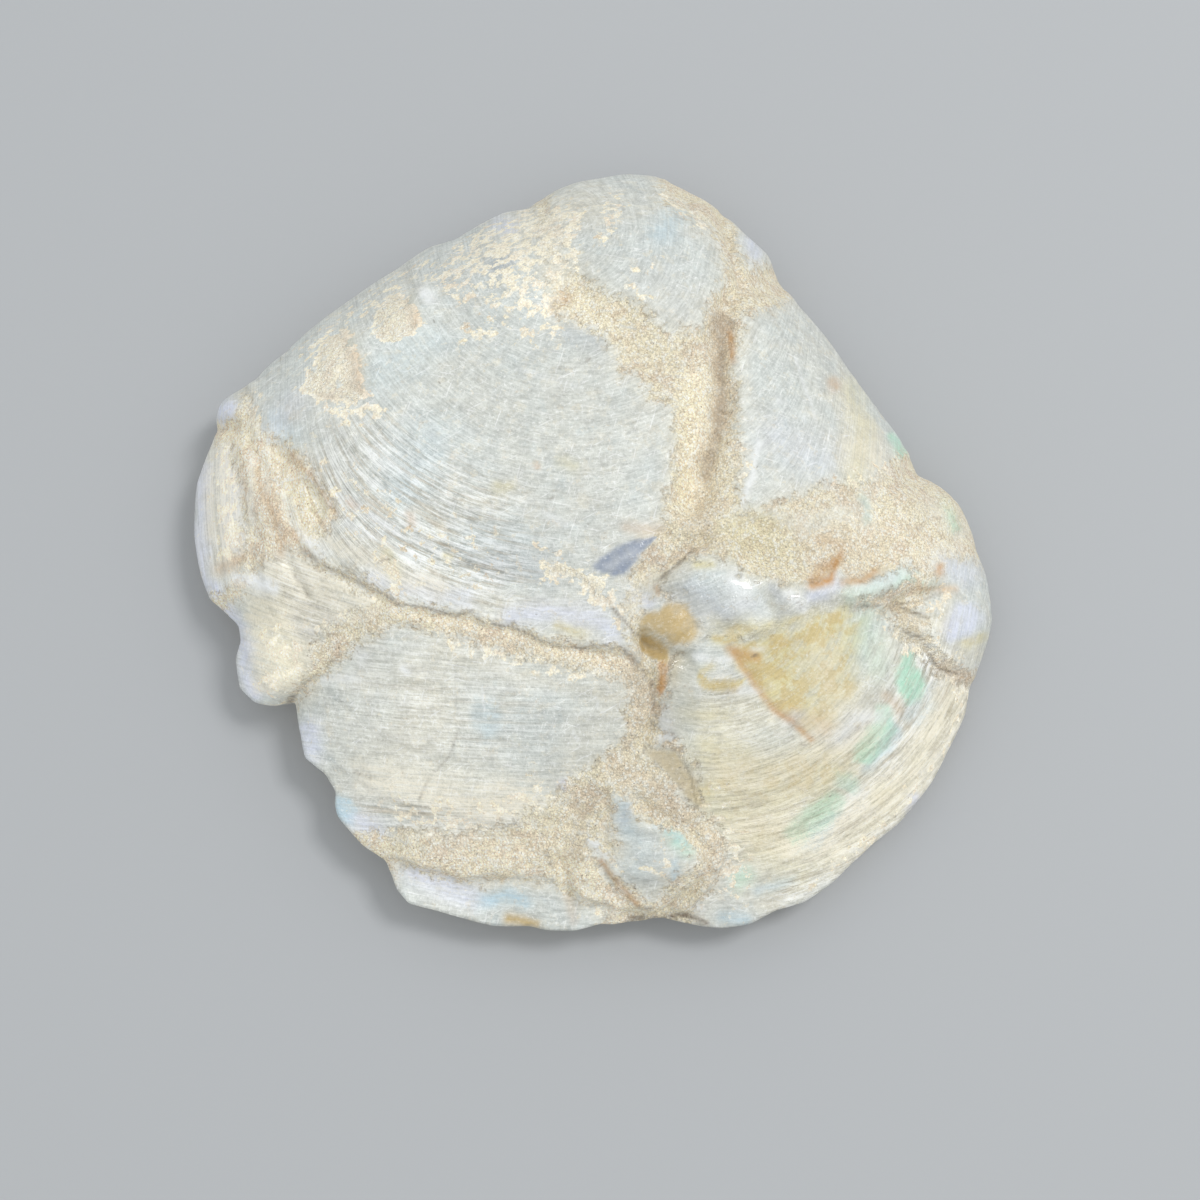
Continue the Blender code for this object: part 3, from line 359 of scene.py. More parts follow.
# Growth lines run about the umbo, and near the margin they follow its edge. Each ledge steps down
# towards the margin: its distance from the umbo along the axis, its drop and its width.
UMBO = (-2.0, 25.0)
GROWTH_LENGTH = 51.5
GROWTH_NARROWING = 0.42  # how much nearer the umbo the edge is at the sides
GROWTH_BLEND = (26.0, 42.0)  # between these distances, round lines turn into lines that follow the edge
LEDGES = ((30.6, 0.1, 0.8), (35.4, 0.13, 0.8), (40.0, 0.16, 0.7), (44.2, 0.28, 0.6), (47.6, 0.4, 0.5))

# On these plates the fine growth lines turn about a place of their own, squeezed sideways by so much
LINES_ABOUT = {
    "lower left plate": ((-2.0, 25.0), 0.5),
    "left tongue": ((-2.0, 25.0), 0.7),
    "lower right plate": ((8.0, -1.0), 1.0),
}
LINES_REACH = -0.3  # how far outside such a plate its own lines end, in the matrix
RIB_SPACING = 1.05
FINE_RIB_SPACING = 0.58
RIB_HEIGHT = 0.014
FINE_RIB_HEIGHT = 0.006

# The side of the valve, in rings from its edge down to its foot: how far down each ring is, how much of
# the undercut it stands back, and how much of the edge's thickness it has come down
SIDE_LEVELS = (0.0, 0.17, 0.34, 0.5, 0.67, 0.84, 1.0)
SIDE_STANDS_BACK = (0.0, 0.07, 0.17, 0.47, 0.72, 0.89, 1.0)
EDGE_LEVELS = (0.0, 0.17, 0.34)
EDGE_COMES_DOWN = (0.0, 0.4, 0.95)
RAGGED = 0.35  # how unevenly thick the edge is, and how unevenly the matrix stands back
AROUND = 30.0  # radius of the circle on which that unevenness is read
SIDE_GRAIN = 0.12  # how far the sand of the side stands proud
THICKNESS_ENDS = 0.4  # of the way down the side, where the edge's own thickness is passed
OPAL_ENDS = 0.36  # of the way down the side, where opal gives way to matrix
EDGE_DEPTH = 0.8  # what the opal of the edge reads as its depth inside a plate
HIDDEN_DEPTH = -1.5  # the same for the matrix below

# The stretches of the underside that lie flat on the floor: middle, length, width and turn
REST_SINK = 2.08
REST_WANDER = 1.6
REST_FALL = 1.5  # where a stretch has ended, as a share of its length and width
RESTS = (
    ((0.0, 1.0), 9.5, 7.0, 20),
    ((-14.5, -4.5), 7.0, 4.0, -35),
    ((14.5, -5.5), 6.5, 4.5, 50),
    ((4.0, 15.0), 6.0, 4.2, -20),
    ((-4.0, -15.5), 7.5, 3.6, 10),
)

# Fine white scratches in the opal: the angles at which they run, and their length and width
SCRATCH_TURNS = (1.3, -0.22, 0.5)
SCRATCH_SIZE = (2.6, 0.16, 1.0)

# A mark follows a line of landmarks, fades over its width and has a strength
Mark = namedtuple("Mark", "line width strength")

# A patch is a closed outline of landmarks, whose edge is soft over so much
Patch = namedtuple("Patch", "edge soft strength")

# The material reads these kinds of marks. Most tint the opal. Of the rest, film is a broken layer of sand,
# veil a thin one along the growth lines, bright is painted light that lightens places the lamp leaves
# darker, window bares the opal, warm browns the matrix, clear is glossy, and ribs brings out the growth
# lines.
# Some marks also paint shade or highlights. Warm and smoke paint shade in the valley beside the vertical
# seam and on the edges of the sand flakes at the upper left. Dirt darkens the cracks, partly as dirt and
# partly as painted shade, and paints shadow under the main plate's overhang, in the valley, in the hollow
# under the amber lobe and in the gap under the bottom edge. White paints highlights on the clear lump.
MARKS = {
    "green": (
        Patch(((22.4, -6.1), (23.1, -6.1), (23.2, -7.0), (23.7, -8.0), (24.0, -9.0), (23.6, -10.2),
               (22.4, -10.3), (21.7, -9.4), (21.8, -8.2), (22.2, -7.0)), 0.45, 0.9),
        Patch(((20.3, -10.3), (21.1, -10.4), (21.5, -11.2), (21.9, -12.0), (21.2, -13.2), (20.0, -14.9),
               (18.7, -14.7), (18.6, -13.8), (19.4, -12.6), (20.1, -11.4)), 0.45, 0.75),
        Patch(((17.2, -15.2), (18.0, -15.3), (19.0, -15.8), (18.6, -16.9), (17.4, -16.2)), 0.5, 0.4),
        Patch(((14.4, -18.6), (16.0, -17.4), (17.4, -16.6), (18.2, -17.6), (17.4, -19.0), (15.8, -19.9),
               (14.2, -20.4), (13.4, -19.8)), 0.6, 0.6),
        Mark(((10.7, -22.8), (10.0, -23.3)), 0.6, 0.5),
        Mark(((25.3, 4.9), (25.6, 3.6), (26.0, 2.5)), 0.4, 1.0),
        Mark(((21.4, 9.2), (22.6, 7.0)), 0.3, 0.8),
        Mark(((18.5, -2.0), (20.5, -1.5), (22.3, -0.7)), 0.7, 0.3),
        Mark(((22.4, -1.0), (23.8, -1.4)), 0.6, 0.5),
        Mark(((5.4, -19.8), (6.4, -21.0)), 0.6, 0.5),
        Mark(((19.6, -3.4), (19.4, -5.0), (20.4, -7.4)), 1.2, 0.25),
        Mark(((19.3, 4.9), (19.7, 3.4)), 0.5, 0.35),
    ),
    "blue": (
        Patch(((21.2, -11.0), (22.3, -12.0), (22.2, -12.9), (21.2, -13.9), (20.2, -15.2), (19.2, -15.4),
               (19.8, -14.3), (20.8, -12.8)), 0.6, 0.65),
        Patch(((23.0, -9.4), (24.6, -8.6), (24.7, -10.4), (23.2, -12.2), (22.3, -11.0)), 0.8, 0.45),
        Patch(((15.2, -19.2), (17.0, -18.2), (18.0, -18.4), (17.2, -19.6), (15.8, -20.9), (14.4, -21.0)),
               0.6, 0.6),
        Mark(((17.6, -15.6), (18.4, -16.4)), 0.6, 0.4),
        Mark(((-8.2, -24.9), (-6.2, -24.4), (-5.4, -24.8)), 0.7, 0.95),
        Mark(((9.2, -26.0), (10.6, -26.2)), 0.5, 0.7),
        Patch(((-19.4, -17.0), (-18.2, -17.2), (-17.4, -18.2), (-18.0, -19.4), (-19.6, -18.8)),
               0.5, 0.95),
        Mark(((1.5, -17.4), (2.2, -19.6)), 0.7, 0.45),
        Mark(((3.2, -20.2), (3.0, -22.6)), 1.4, 0.15),
        Mark(((4.4, -18.9), (6.2, -20.4)), 0.4, 0.9),
        Mark(((5.5, -22.0), (5.5, -23.0)), 0.4, 0.6),
        Patch(((-9.0, -9.6), (-7.6, -10.0), (-7.0, -12.0), (-8.4, -13.0), (-9.4, -11.6)), 1.0, 0.4),
        Mark(((-9.0, 2.2), (-6.0, 2.6)), 1.6, 0.16),
        Mark(((5.6, 25.7), (4.6, 24.8)), 1.0, 0.5),
        Mark(((-14.4, 5.8), (-12.6, 9.6)), 1.6, 0.25),
        Mark(((19.8, -1.4), (21.6, -0.7)), 0.5, 0.45),
        Mark(((11.8, -12.6), (13.4, -13.4)), 1.2, 0.15),
        Mark(((11.6, -23.8), (13.8, -23.3)), 0.5, 0.5),
        Mark(((-22.4, 9.6), (-24.0, 10.2)), 1.0, 0.4),
        Mark(((8.0, -1.0), (10.0, -1.6), (12.0, -3.0)), 1.4, 0.2),
        Mark(((-16.4, 13.6), (-12.6, 16.6)), 1.6, 0.3),
    ),
    "lavender": (
        Patch(((25.4, -4.0), (26.2, -3.0), (27.4, -3.0), (28.0, -4.4), (27.2, -5.8), (25.8, -6.0),
               (25.2, -5.0)),
              0.9, 0.8),
        Mark(((-28.9, 7.0), (-29.2, 2.0), (-28.8, -1.0), (-27.6, -3.2), (-26.2, -4.6)), 0.6, 0.75),
        Mark(((-28.4, -1.8), (-28.0, -2.4)), 0.5, 0.9),
        Mark(((-27.0, 8.0), (-26.8, 1.6)), 0.7, 0.5),
        Mark(((-22.4, 12.0), (-24.2, 9.6)), 1.0, 0.3),
        Mark(((-26.1, -5.4), (-25.9, -8.0), (-25.2, -9.8)), 0.6, 0.85),
        Mark(((-21.3, -12.2), (-21.0, -13.6)), 0.8, 0.8),
        Mark(((-17.4, -19.2), (-16.0, -20.0)), 0.8, 0.7),
        Mark(((-6.5, -3.6), (-3.5, -3.2), (0.2, -3.9), (0.9, -5.0)), 0.8, 0.7),
        Mark(((-16.5, -1.0), (-10.0, -2.4)), 0.9, 0.45),
        Mark(((4.8, -10.9), (5.0, -12.4)), 0.6, 0.7),
        Mark(((-13.4, -22.8), (-11.0, -23.8), (-9.6, -24.6)), 1.0, 0.75),
        Patch(((22.4, -17.0), (23.3, -16.8), (23.2, -17.8), (22.4, -18.4)), 0.4, 0.9),
        Mark(((15.6, -2.2), (17.6, -1.3)), 0.5, 0.7),
        Mark(((11.0, 23.6), (11.6, 22.6)), 0.6, 0.7),
        Mark(((-7.6, 24.9), (-6.4, 24.6)), 0.5, 0.6),
        Mark(((-27.6, 11.0), (-27.0, 11.2)), 0.8, 1.0),
        Mark(((25.4, 0.2), (27.0, -0.8)), 0.9, 0.5),
        Mark(((-2.6, -16.2), (-2.2, -16.8)), 0.4, 0.8),
        Mark(((2.5, -2.2), (3.6, -2.6)), 0.6, 0.6),
        Mark(((14.9, -16.0), (15.4, -15.4)), 0.4, 0.3),
        Mark(((13.0, 9.6), (16.0, 8.0)), 1.6, 0.3),
        Mark(((6.0, -2.0), (9.0, -3.4)), 1.2, 0.25),
    ),
    "beige": (
        Mark(((-28.6, 8.0), (-28.4, 3.0), (-27.6, -1.0)), 1.2, 0.5),
        Mark(((-21.6, 3.0), (-17.0, 0.4), (-12.0, -1.2)), 1.4, 0.35),
        Patch(((-24.6, -0.4), (-22.0, 0.6), (-18.0, -1.2), (-16.0, -2.6), (-20.4, -5.0), (-20.8, -8.0),
               (-22.6, -9.6),
               (-25.4, -9.4), (-25.4, -4.0)), 1.4, 0.8),
        Patch(((7.4, -9.6), (11.0, -9.6), (14.0, -12.2), (18.4, -9.6), (20.4, -4.4), (22.4, -5.2),
               (24.6, -8.4),
               (27.2, -9.6), (24.0, -16.4), (19.0, -21.4), (12.0, -25.4), (9.6, -24.0), (8.4, -18.0),
               (6.8, -13.6)), 1.4, 0.6),
        Patch(((8.6, -14.2), (13.0, -13.8), (17.4, -13.6), (16.0, -16.6), (13.4, -19.2), (10.0, -20.6)),
               1.6, 0.6),
        Mark(((26.4, -10.6), (24.4, -15.4), (20.8, -19.6), (17.0, -22.8), (12.6, -25.0)), 0.7, 0.75),
        Patch(((17.4, 12.6), (17.6, 7.0), (19.6, 6.2), (21.6, 7.6), (19.0, 12.0), (17.6, 14.4)),
               1.0, 0.75),
        Mark(((-12.0, -8.0), (-14.0, -14.0), (-8.0, -18.0)), 3.4, 0.55),
        Mark(((-14.0, -1.4), (-6.0, -2.8), (0.0, -3.6)), 1.2, 0.4),
        Mark(((-18.0, -8.6), (-14.0, -7.6)), 1.4, 0.3),
        Mark(((2.0, -8.8), (0.6, -12.0), (-2.0, -15.0)), 1.6, 0.35),
        Mark(((-6.0, 24.6), (-1.0, 26.8)), 1.6, 0.6),
        Mark(((0.2, -9.4), (-6.0, -8.0), (-12.0, -6.0)), 0.7, 0.5),
        Mark(((8.0, -12.0), (12.0, -11.6)), 1.4, 0.3),
        Mark(((25.4, -2.2), (25.0, -6.6), (27.4, -6.6)), 0.9, 0.7),
    ),
    "yellow": (
        Patch(((9.4, -6.0), (10.6, -5.7), (12.6, -5.1), (14.6, -4.7), (16.4, -3.4), (18.0, -2.6),
               (18.6, -3.6),
               (17.2, -5.0), (15.6, -6.0), (14.6, -7.4), (15.0, -9.2), (15.4, -10.8), (13.8, -10.9),
               (12.4, -10.0), (11.2, -8.4), (10.2, -7.2)), 1.0, 0.9),
        Patch(((15.0, -5.6), (17.6, -4.4), (19.4, -4.0), (18.8, -6.6), (18.6, -9.0), (17.0, -11.8),
               (15.0, -12.4),
               (14.6, -9.0)), 1.4, 0.75),
        Mark(((20.6, -10.8), (19.2, -13.8)), 0.6, 0.35),
        Mark(((14.4, -19.6), (16.8, -17.4)), 0.8, 0.3),
        Mark(((13.0, -5.6), (13.8, -5.3)), 0.5, 0.8),
        Mark(((10.6, -6.6), (11.9, -8.2), (12.6, -9.4)), 0.7, 0.75),
        Mark(((10.3, 1.6), (12.6, 2.6)), 1.3, 0.5),
        Mark(((16.6, -6.4), (18.0, -9.0)), 1.1, 0.45),
        Mark(((18.6, 13.0), (19.5, 9.0), (18.6, 6.0)), 0.8, 0.4),
        Patch(((7.3, -7.6), (7.9, -8.2), (9.0, -8.6), (10.6, -8.2), (10.2, -8.9), (8.8, -9.3),
               (7.8, -9.1),
               (7.2, -8.4)), 0.35, 1.0),
        Mark(((7.5, -7.6), (8.3, -7.2)), 0.4, 0.6),
        Mark(((7.4, -17.0), (9.4, -15.8)), 0.7, 0.5),
        Mark(((16.0, -14.6), (12.0, -16.6)), 1.0, 0.25),
        Mark(((20.9, -16.7), (20.2, -17.4)), 0.6, 0.5),
        Mark(((13.0, -19.6), (11.0, -20.6)), 1.2, 0.25),
        Mark(((-15.6, 0.9), (-15.2, -0.4)), 0.7, 0.6),
        Mark(((-22.2, 5.2), (-20.8, 4.6)), 0.8, 0.6),
        Mark(((9.6, 2.8), (13.6, 0.8)), 1.5, 0.7),
        Mark(((-2.6, 20.6), (1.6, 18.6), (5.0, 15.6)), 1.2, 0.15),
        Mark(((6.6, 12.6), (6.4, 8.0), (6.0, 4.6)), 0.7, 0.4),
        Mark(((8.0, -13.6), (12.6, -15.4), (17.6, -14.6)), 1.8, 0.55),
        Mark(((9.4, -18.6), (13.4, -21.6)), 1.6, 0.45),
        Mark(((8.4, -17.0), (13.0, -17.6), (16.0, -16.0)), 1.8, 0.42),
        Mark(((8.0, -10.6), (12.6, -10.6)), 1.4, 0.2),
        Mark(((26.0, -9.6), (21.6, -17.6), (14.6, -23.0)), 0.9, 0.3),
        Mark(((-24.6, -3.0), (-22.6, -7.6)), 1.4, 0.35),
        Mark(((11.4, -6.4), (13.6, -6.0), (16.0, -6.0)), 0.6, 0.5),
        Mark(((-2.8, 7.8), (-2.0, 7.3)), 0.5, 0.4),
        Mark(((-7.6, 5.9), (-6.8, 5.9)), 0.45, 0.6),
        Mark(((-3.2, -4.2), (-1.4, -4.8)), 0.4, 0.6),
        Mark(((26.8, -6.0), (28.0, -5.4)), 0.4, 0.6),
        Mark(((7.2, 0.2), (8.2, 0.2)), 0.35, 0.8),
        Mark(((6.6, -10.9), (9.0, -11.2)), 0.5, 0.4),
        Mark(((-11.3, 0.9), (-10.9, 0.8)), 0.3, 0.6),
        Mark(((8.6, -3.9), (10.0, -4.3)), 0.5, 0.4),
        Mark(((8.4, -5.2), (10.0, -5.4)), 0.5, 0.75),
        Mark(((9.6, -4.6), (13.0, -4.4), (15.6, -3.4)), 0.7, 0.65),
    ),
    "amber": (
        Patch(((3.0, -3.8), (3.6, -3.2), (4.5, -2.9), (5.2, -2.3), (6.3, -2.6), (6.9, -3.6), (7.0, -4.8),
               (6.6, -5.6),
               (5.4, -5.9), (4.6, -5.2), (3.8, -4.8), (3.0, -4.8)), 0.5, 0.85),
        Mark(((5.6, -3.8), (6.1, -4.5)), 0.9, 0.6),
        Patch(((2.9, -4.9), (3.8, -5.0), (4.5, -5.4), (5.1, -6.0), (5.2, -6.8), (4.9, -7.2), (4.0, -6.8),
               (3.2, -6.2)),
              0.35, 0.95),
        Patch(((3.3, -13.5), (4.5, -13.2), (5.6, -13.5), (6.6, -15.0), (7.2, -16.6), (7.5, -18.0),
               (6.4, -17.2),
               (4.6, -15.2)), 0.6, 0.55),
        Mark(((-6.6, -26.1), (-4.6, -26.5)), 0.35, 0.9),
        Mark(((5.6, -6.8), (5.4, -8.4)), 0.5, 0.25),
        Mark(((7.8, -8.7), (9.8, -8.8)), 0.45, 0.6),
        Mark(((10.0, -6.5), (11.2, -7.6), (12.2, -9.0)), 0.4, 0.4),
        Mark(((12.2, -6.2), (14.4, -5.6)), 0.5, 0.3),
        Mark(((18.6, -1.2), (20.4, -0.6), (21.2, -0.1)), 0.35, 0.55),
    ),
    "smoke_and_shade": (
        Patch(((5.1, -6.3), (6.8, -6.3), (7.2, -7.2), (7.0, -9.0), (7.2, -11.6), (4.9, -12.8),
               (4.3, -11.6),
               (4.5, -10.0), (5.1, -8.8)), 1.0, 0.6),
        # Painted shade in the valley beside the vertical seam.
        Mark(((8.9, 18.0), (8.6, 17.0), (8.9, 15.0), (9.0, 12.0), (8.5, 9.0), (7.7, 6.6)), 0.55, 0.55),
        Mark(((7.4, 3.0), (8.4, 1.8)), 1.0, 0.35),
        # Painted shade on the right and lower edges of the two sand flakes at the upper left.
        Mark(((-18.4, 17.0), (-17.9, 15.0), (-17.6, 13.2)), 0.55, 0.7),
        Mark(((-14.0, 19.4), (-13.5, 18.0)), 0.45, 0.6),
        Mark(((-20.6, 12.4), (-18.6, 12.4)), 0.35, 0.4),
        Mark(((12.5, -2.0), (13.4, -3.6)), 0.6, 0.6),
        Mark(((6.4, -1.6), (8.0, -2.8), (9.4, -4.2)), 0.6, 0.4),
        Mark(((5.2, -1.0), (6.6, -0.4)), 0.4, 0.4),
        Mark(((4.8, -13.2), (6.6, -15.6)), 0.9, 0.45),
        Mark(((2.3, -7.0), (3.2, -9.0)), 0.6, 0.35),
        Mark(((-1.0, -18.0), (-1.8, -21.4)), 0.5, 0.4),
        Mark(((21.2, -3.0), (23.4, -4.4)), 0.7, 0.25),
    ),
    "rust": (
        Patch(((4.2, -7.1), (4.7, -6.8), (5.1, -7.2), (5.1, -8.5), (4.8, -9.2), (4.3, -9.7), (4.2, -9.0),
               (4.35, -8.2)), 0.3, 0.95),
        Mark(((9.5, -6.0), (10.2, -6.9), (11.0, -8.2), (12.0, -9.6), (12.9, -10.7), (14.2, -11.6),
              (15.5, -12.9)),
             0.24, 0.7),
        Mark(((15.7, -1.15), (17.0, -1.0), (17.2, -0.3), (17.8, 0.8)), 0.36, 1.0),
        Mark(((16.0, -0.7), (17.0, 0.2)), 0.5, 0.7),
        Mark(((18.0, -1.2), (19.4, -1.1), (20.2, -0.5)), 0.3, 0.75),
        Mark(((25.0, -0.2), (25.0, -0.6)), 0.3, 0.75),
        Mark(((0.0, -21.8), (1.0, -23.0), (2.0, -24.2), (2.8, -25.0)), 0.2, 0.7),
        Mark(((9.5, 17.2), (9.9, 15.2)), 0.25, 0.8),
        Mark(((17.0, 13.4), (17.3, 13.0)), 0.35, 0.5),
        Mark(((-19.4, 3.9), (-21.2, 6.6), (-22.5, 8.2)), 0.16, 0.55),
        Mark(((-22.7, 2.6), (-22.3, 1.8)), 0.25, 0.5),
        Mark(((-24.4, 5.0), (-23.5, 2.6), (-23.5, 0.6)), 0.4, 0.35),
        Mark(((-25.1, 7.0), (-24.6, 5.0)), 0.22, 0.4),
        Mark(((-22.7, 8.0), (-22.0, 7.0)), 0.3, 0.25),
        Mark(((-27.6, -0.4), (-26.2, 0.6)), 0.5, 0.4),
        Mark(((13.4, -10.6), (16.6, -12.0)), 0.6, 0.3),
        Mark(((-3.4, 19.3), (-2.0, 19.7)), 0.4, 0.35),
        Mark(((23.4, -1.7), (26.0, -1.9)), 0.3, 0.4),
        Mark(((25.0, -7.9), (26.8, -8.3)), 0.6, 0.25),
        Mark(((4.2, -1.5), (4.35, -1.8)), 0.2, 0.8),
        Mark(((-14.1, 3.9), (-13.8, 3.3)), 0.3, 0.5),
        Mark(((-4.7, 7.6), (-4.5, 7.4)), 0.2, 0.5),
        Mark(((-18.4, 4.8), (-18.0, 4.4)), 0.3, 0.4),
        Mark(((9.7, -6.0), (11.6, -6.9)), 0.4, 0.6),
        Mark(((-2.4, -24.6), (-2.0, -26.2)), 0.4, 0.3),
        Mark(((20.9, -9.6), (22.0, -10.8)), 0.3, 0.4),
        Mark(((16.2, 1.9), (17.8, 1.6)), 0.4, 0.25),
        # Rust stain, partly painted shade, on the right edges of the two sand flakes at the upper left.
        Mark(((-17.9, 15.6), (-17.5, 13.0)), 0.25, 0.3),
        Mark(((-13.5, 18.6), (-13.5, 17.8)), 0.2, 0.3),
        Mark(((2.0, 3.0), (4.4, 2.7)), 0.45, 0.3),
    ),
    "white": (
        Mark(((11.7, 9.2), (11.3, 6.6), (10.6, 4.6)), 0.26, 0.75),
        Mark(((-26.6, -1.2), (-25.4, -1.2), (-24.0, -1.9)), 0.5, 1.0),
        Mark(((-12.9, 19.9), (-12.6, 19.7)), 0.4, 1.0),
        Mark(((-6.2, 14.7), (-1.3, 13.3)), 0.1, 0.5),
        Mark(((2.6, -25.4), (7.4, -25.4)), 0.4, 0.5),
        Mark(((20.6, -11.0), (18.6, -11.6), (17.6, -12.9)), 0.6, 0.6),
        Mark(((-21.8, 2.3), (-20.6, 0.9)), 0.5, 0.6),
        Mark(((-17.4, -6.6), (-18.2, -6.0)), 0.5, 0.5),
        Mark(((-20.2, -8.6), (-18.0, -8.3)), 0.4, 0.5),
        Mark(((-14.5, -7.6), (-14.1, -7.8)), 0.28, 0.8),
        Mark(((-3.9, 3.9), (-2.6, 3.2)), 0.25, 0.5),
        Mark(((13.2, 12.4), (13.4, 12.1)), 0.25, 0.5),
        Mark(((14.4, 15.2), (15.0, 13.2), (15.5, 12.0), (15.9, 10.8)), 0.1, 0.6),
        Mark(((7.2, -23.4), (6.8, -24.6)), 0.4, 0.5),
        Mark(((8.6, 24.4), (9.4, 22.6)), 0.2, 0.6),
        Mark(((-1.0, -19.8), (0.4, -21.4)), 0.35, 0.7),
        Mark(((20.8, 1.7), (21.2, 1.2)), 0.35, 0.5),
        Mark(((10.3, -9.3), (11.5, -9.2)), 0.3, 0.6),
        Mark(((7.0, -6.5), (8.2, -6.9), (9.6, -6.8)), 0.2, 0.7),
        Mark(((11.2, -6.2), (12.0, -6.1)), 0.25, 0.5),
        # Painted highlights: this white patch and the two marks after it stand for the glints on the clear
        # lump.
        Patch(((9.4, 0.2), (10.6, -0.5), (11.4, -0.8), (11.2, -1.8), (12.0, -2.6), (12.8, -3.6),
               (11.8, -4.2),
               (10.6, -3.9), (9.8, -2.8), (9.3, -1.4)), 0.8, 0.3),
        Mark(((14.1, -2.1), (15.2, -3.2)), 0.4, 0.8),
        Mark(((9.8, -1.0), (10.6, -2.6)), 0.8, 0.5),
        Mark(((19.0, -1.6), (22.6, -0.5)), 0.6, 0.4),
        Mark(((-8.6, -8.8), (-8.5, -10.6)), 0.07, 0.8),
        Mark(((-2.0, -12.2), (-1.6, -12.9)), 0.08, 0.7),
        Mark(((-0.3, -9.6), (-0.1, -10.4)), 0.07, 0.7),
        Mark(((0.5, 0.1), (1.6, 0.7), (2.8, 1.2)), 0.35, 0.28),
        Mark(((-19.6, 5.6), (-15.0, 2.6)), 0.35, 0.5),
        Mark(((-18.6, 3.2), (-13.6, 0.6)), 0.3, 0.5),
        Mark(((-16.8, 8.6), (-13.4, 6.4)), 0.25, 0.4),
    ),
    "slate": (
        Patch(((-0.4, -0.1), (0.1, 0.9), (0.9, 1.4), (1.7, 1.7), (2.5, 2.1), (3.5, 2.25), (4.2, 2.1),
               (3.6, 1.2),
               (2.7, 0.6), (2.2, -0.1), (1.7, -0.55), (0.9, -0.8), (0.1, -0.6)), 0.4, 1.0),
        Mark(((-7.8, 22.0), (-6.8, 22.2)), 0.6, 0.4),
        Mark(((-21.9, -4.3), (-21.0, -4.8)), 0.6, 0.3),
        Mark(((-24.8, -2.4), (-24.0, -4.6)), 0.7, 0.22),
        Mark(((6.6, -1.2), (8.0, -2.2), (9.4, -3.6)), 0.7, 0.3),
        Mark(((12.6, -1.4), (13.6, -2.6)), 0.5, 0.4),
        Mark(((13.4, -3.6), (15.8, -2.9)), 0.4, 0.35),
        Mark(((15.4, -1.8), (16.8, -2.2)), 0.4, 0.3),
        Mark(((12.9, 3.6), (13.8, 3.0)), 0.6, 0.3),
        Mark(((19.3, 4.6), (19.6, 3.8)), 0.5, 0.35),
        Mark(((1.6, 17.9), (2.6, 17.6)), 0.3, 0.5),
        Mark(((2.6, 15.8), (3.6, 15.5)), 0.4, 0.4),
        Mark(((-0.2, 16.6), (-2.2, 17.4)), 0.8, 0.25),
        Mark(((-3.6, -0.4), (-8.0, 0.6)), 1.2, 0.2),
        Mark(((10.4, -2.6), (11.2, -2.9)), 0.3, 0.35),
        Mark(((2.2, -17.4), (1.8, -18.8)), 0.5, 0.3),
        Mark(((6.0, 20.0), (4.0, 22.0)), 2.0, 0.1),
    ),
    # Dark lines in the cracks, partly dirt and partly painted shade. Painted shadow also fills the hollow
    # under the amber lobe, the line under the main plate's overhang, the valley beside the vertical seam
    # and the gap under the bottom edge.
    "dirt_and_shade": (
        Patch(((3.0, -5.1), (3.9, -5.2), (4.9, -6.0), (5.0, -6.8), (4.2, -6.6), (3.3, -6.0)), 0.4, 0.2),
        Mark(((-21.6, 1.0), (-20.6, 0.1), (-18.5, -0.9), (-15.7, -2.1), (-14.8, -2.8)), 0.13, 0.5),
        Mark(((-14.8, -2.8), (-12.6, -3.1), (-10.6, -3.7), (-9.4, -3.2)), 0.11, 0.7),
        Mark(((-9.0, -3.9), (-6.4, -4.5), (-3.6, -5.7), (-2.4, -6.0), (0.6, -5.8), (2.0, -6.2)),
              0.11, 0.65),
        Mark(((1.0, -3.0), (2.1, -4.2), (2.7, -5.0)), 0.12, 0.75),
        Mark(((2.0, -6.2), (3.0, -7.4), (3.9, -9.0)), 0.3, 0.4),
        Mark(((8.9, 18.4), (8.6, 17.0), (8.9, 15.0), (9.0, 12.0), (8.6, 9.0), (7.6, 6.8)), 0.35, 0.3),
        Mark(((9.3, 18.2), (9.9, 17.6)), 0.2, 0.5),
        Mark(((3.8, -8.6), (3.95, -10.0), (3.9, -12.0)), 0.16, 0.6),
        Mark(((7.0, 1.4), (6.2, 0.6), (5.4, -0.1), (4.5, -0.9)), 0.13, 0.7),
        Mark(((21.4, -3.1), (22.6, -3.4), (24.1, -4.0)), 0.11, 0.8),
        Mark(((21.7, -2.9), (23.2, -2.8), (25.0, -2.1)), 0.1, 0.65),
        Mark(((22.3, -4.9), (23.5, -5.5), (24.1, -6.6), (24.9, -7.8), (26.2, -8.1)), 0.12, 0.7),
        Mark(((18.8, -3.0), (20.6, -3.0)), 0.12, 0.5),
        Mark(((-3.9, -21.1), (-3.4, -22.2)), 0.2, 0.4),
        Mark(((2.2, -26.1), (4.0, -25.9), (6.4, -25.9), (7.8, -26.4)), 0.22, 0.9),
        Mark(((2.9, -25.2), (3.8, -25.3)), 0.12, 0.7),
        Mark(((-10.4, -12.2), (-11.0, -14.0), (-12.5, -15.7), (-13.3, -17.4)), 0.09, 0.45),
        Mark(((-17.9, -15.3), (-16.8, -15.8)), 0.1, 0.6),
        Mark(((-22.5, -9.9), (-21.6, -8.9), (-20.2, -7.6), (-19.4, -6.8)), 0.12, 0.5),
        Mark(((-20.0, -5.0), (-19.2, -5.2)), 0.08, 0.8),
        Mark(((-22.4, -0.8), (-21.4, -2.3)), 0.1, 0.5),
        Mark(((19.6, -11.6), (18.2, -12.8)), 0.07, 0.6),
        Mark(((-16.4, 0.3), (-15.4, 0.6)), 0.07, 0.7),
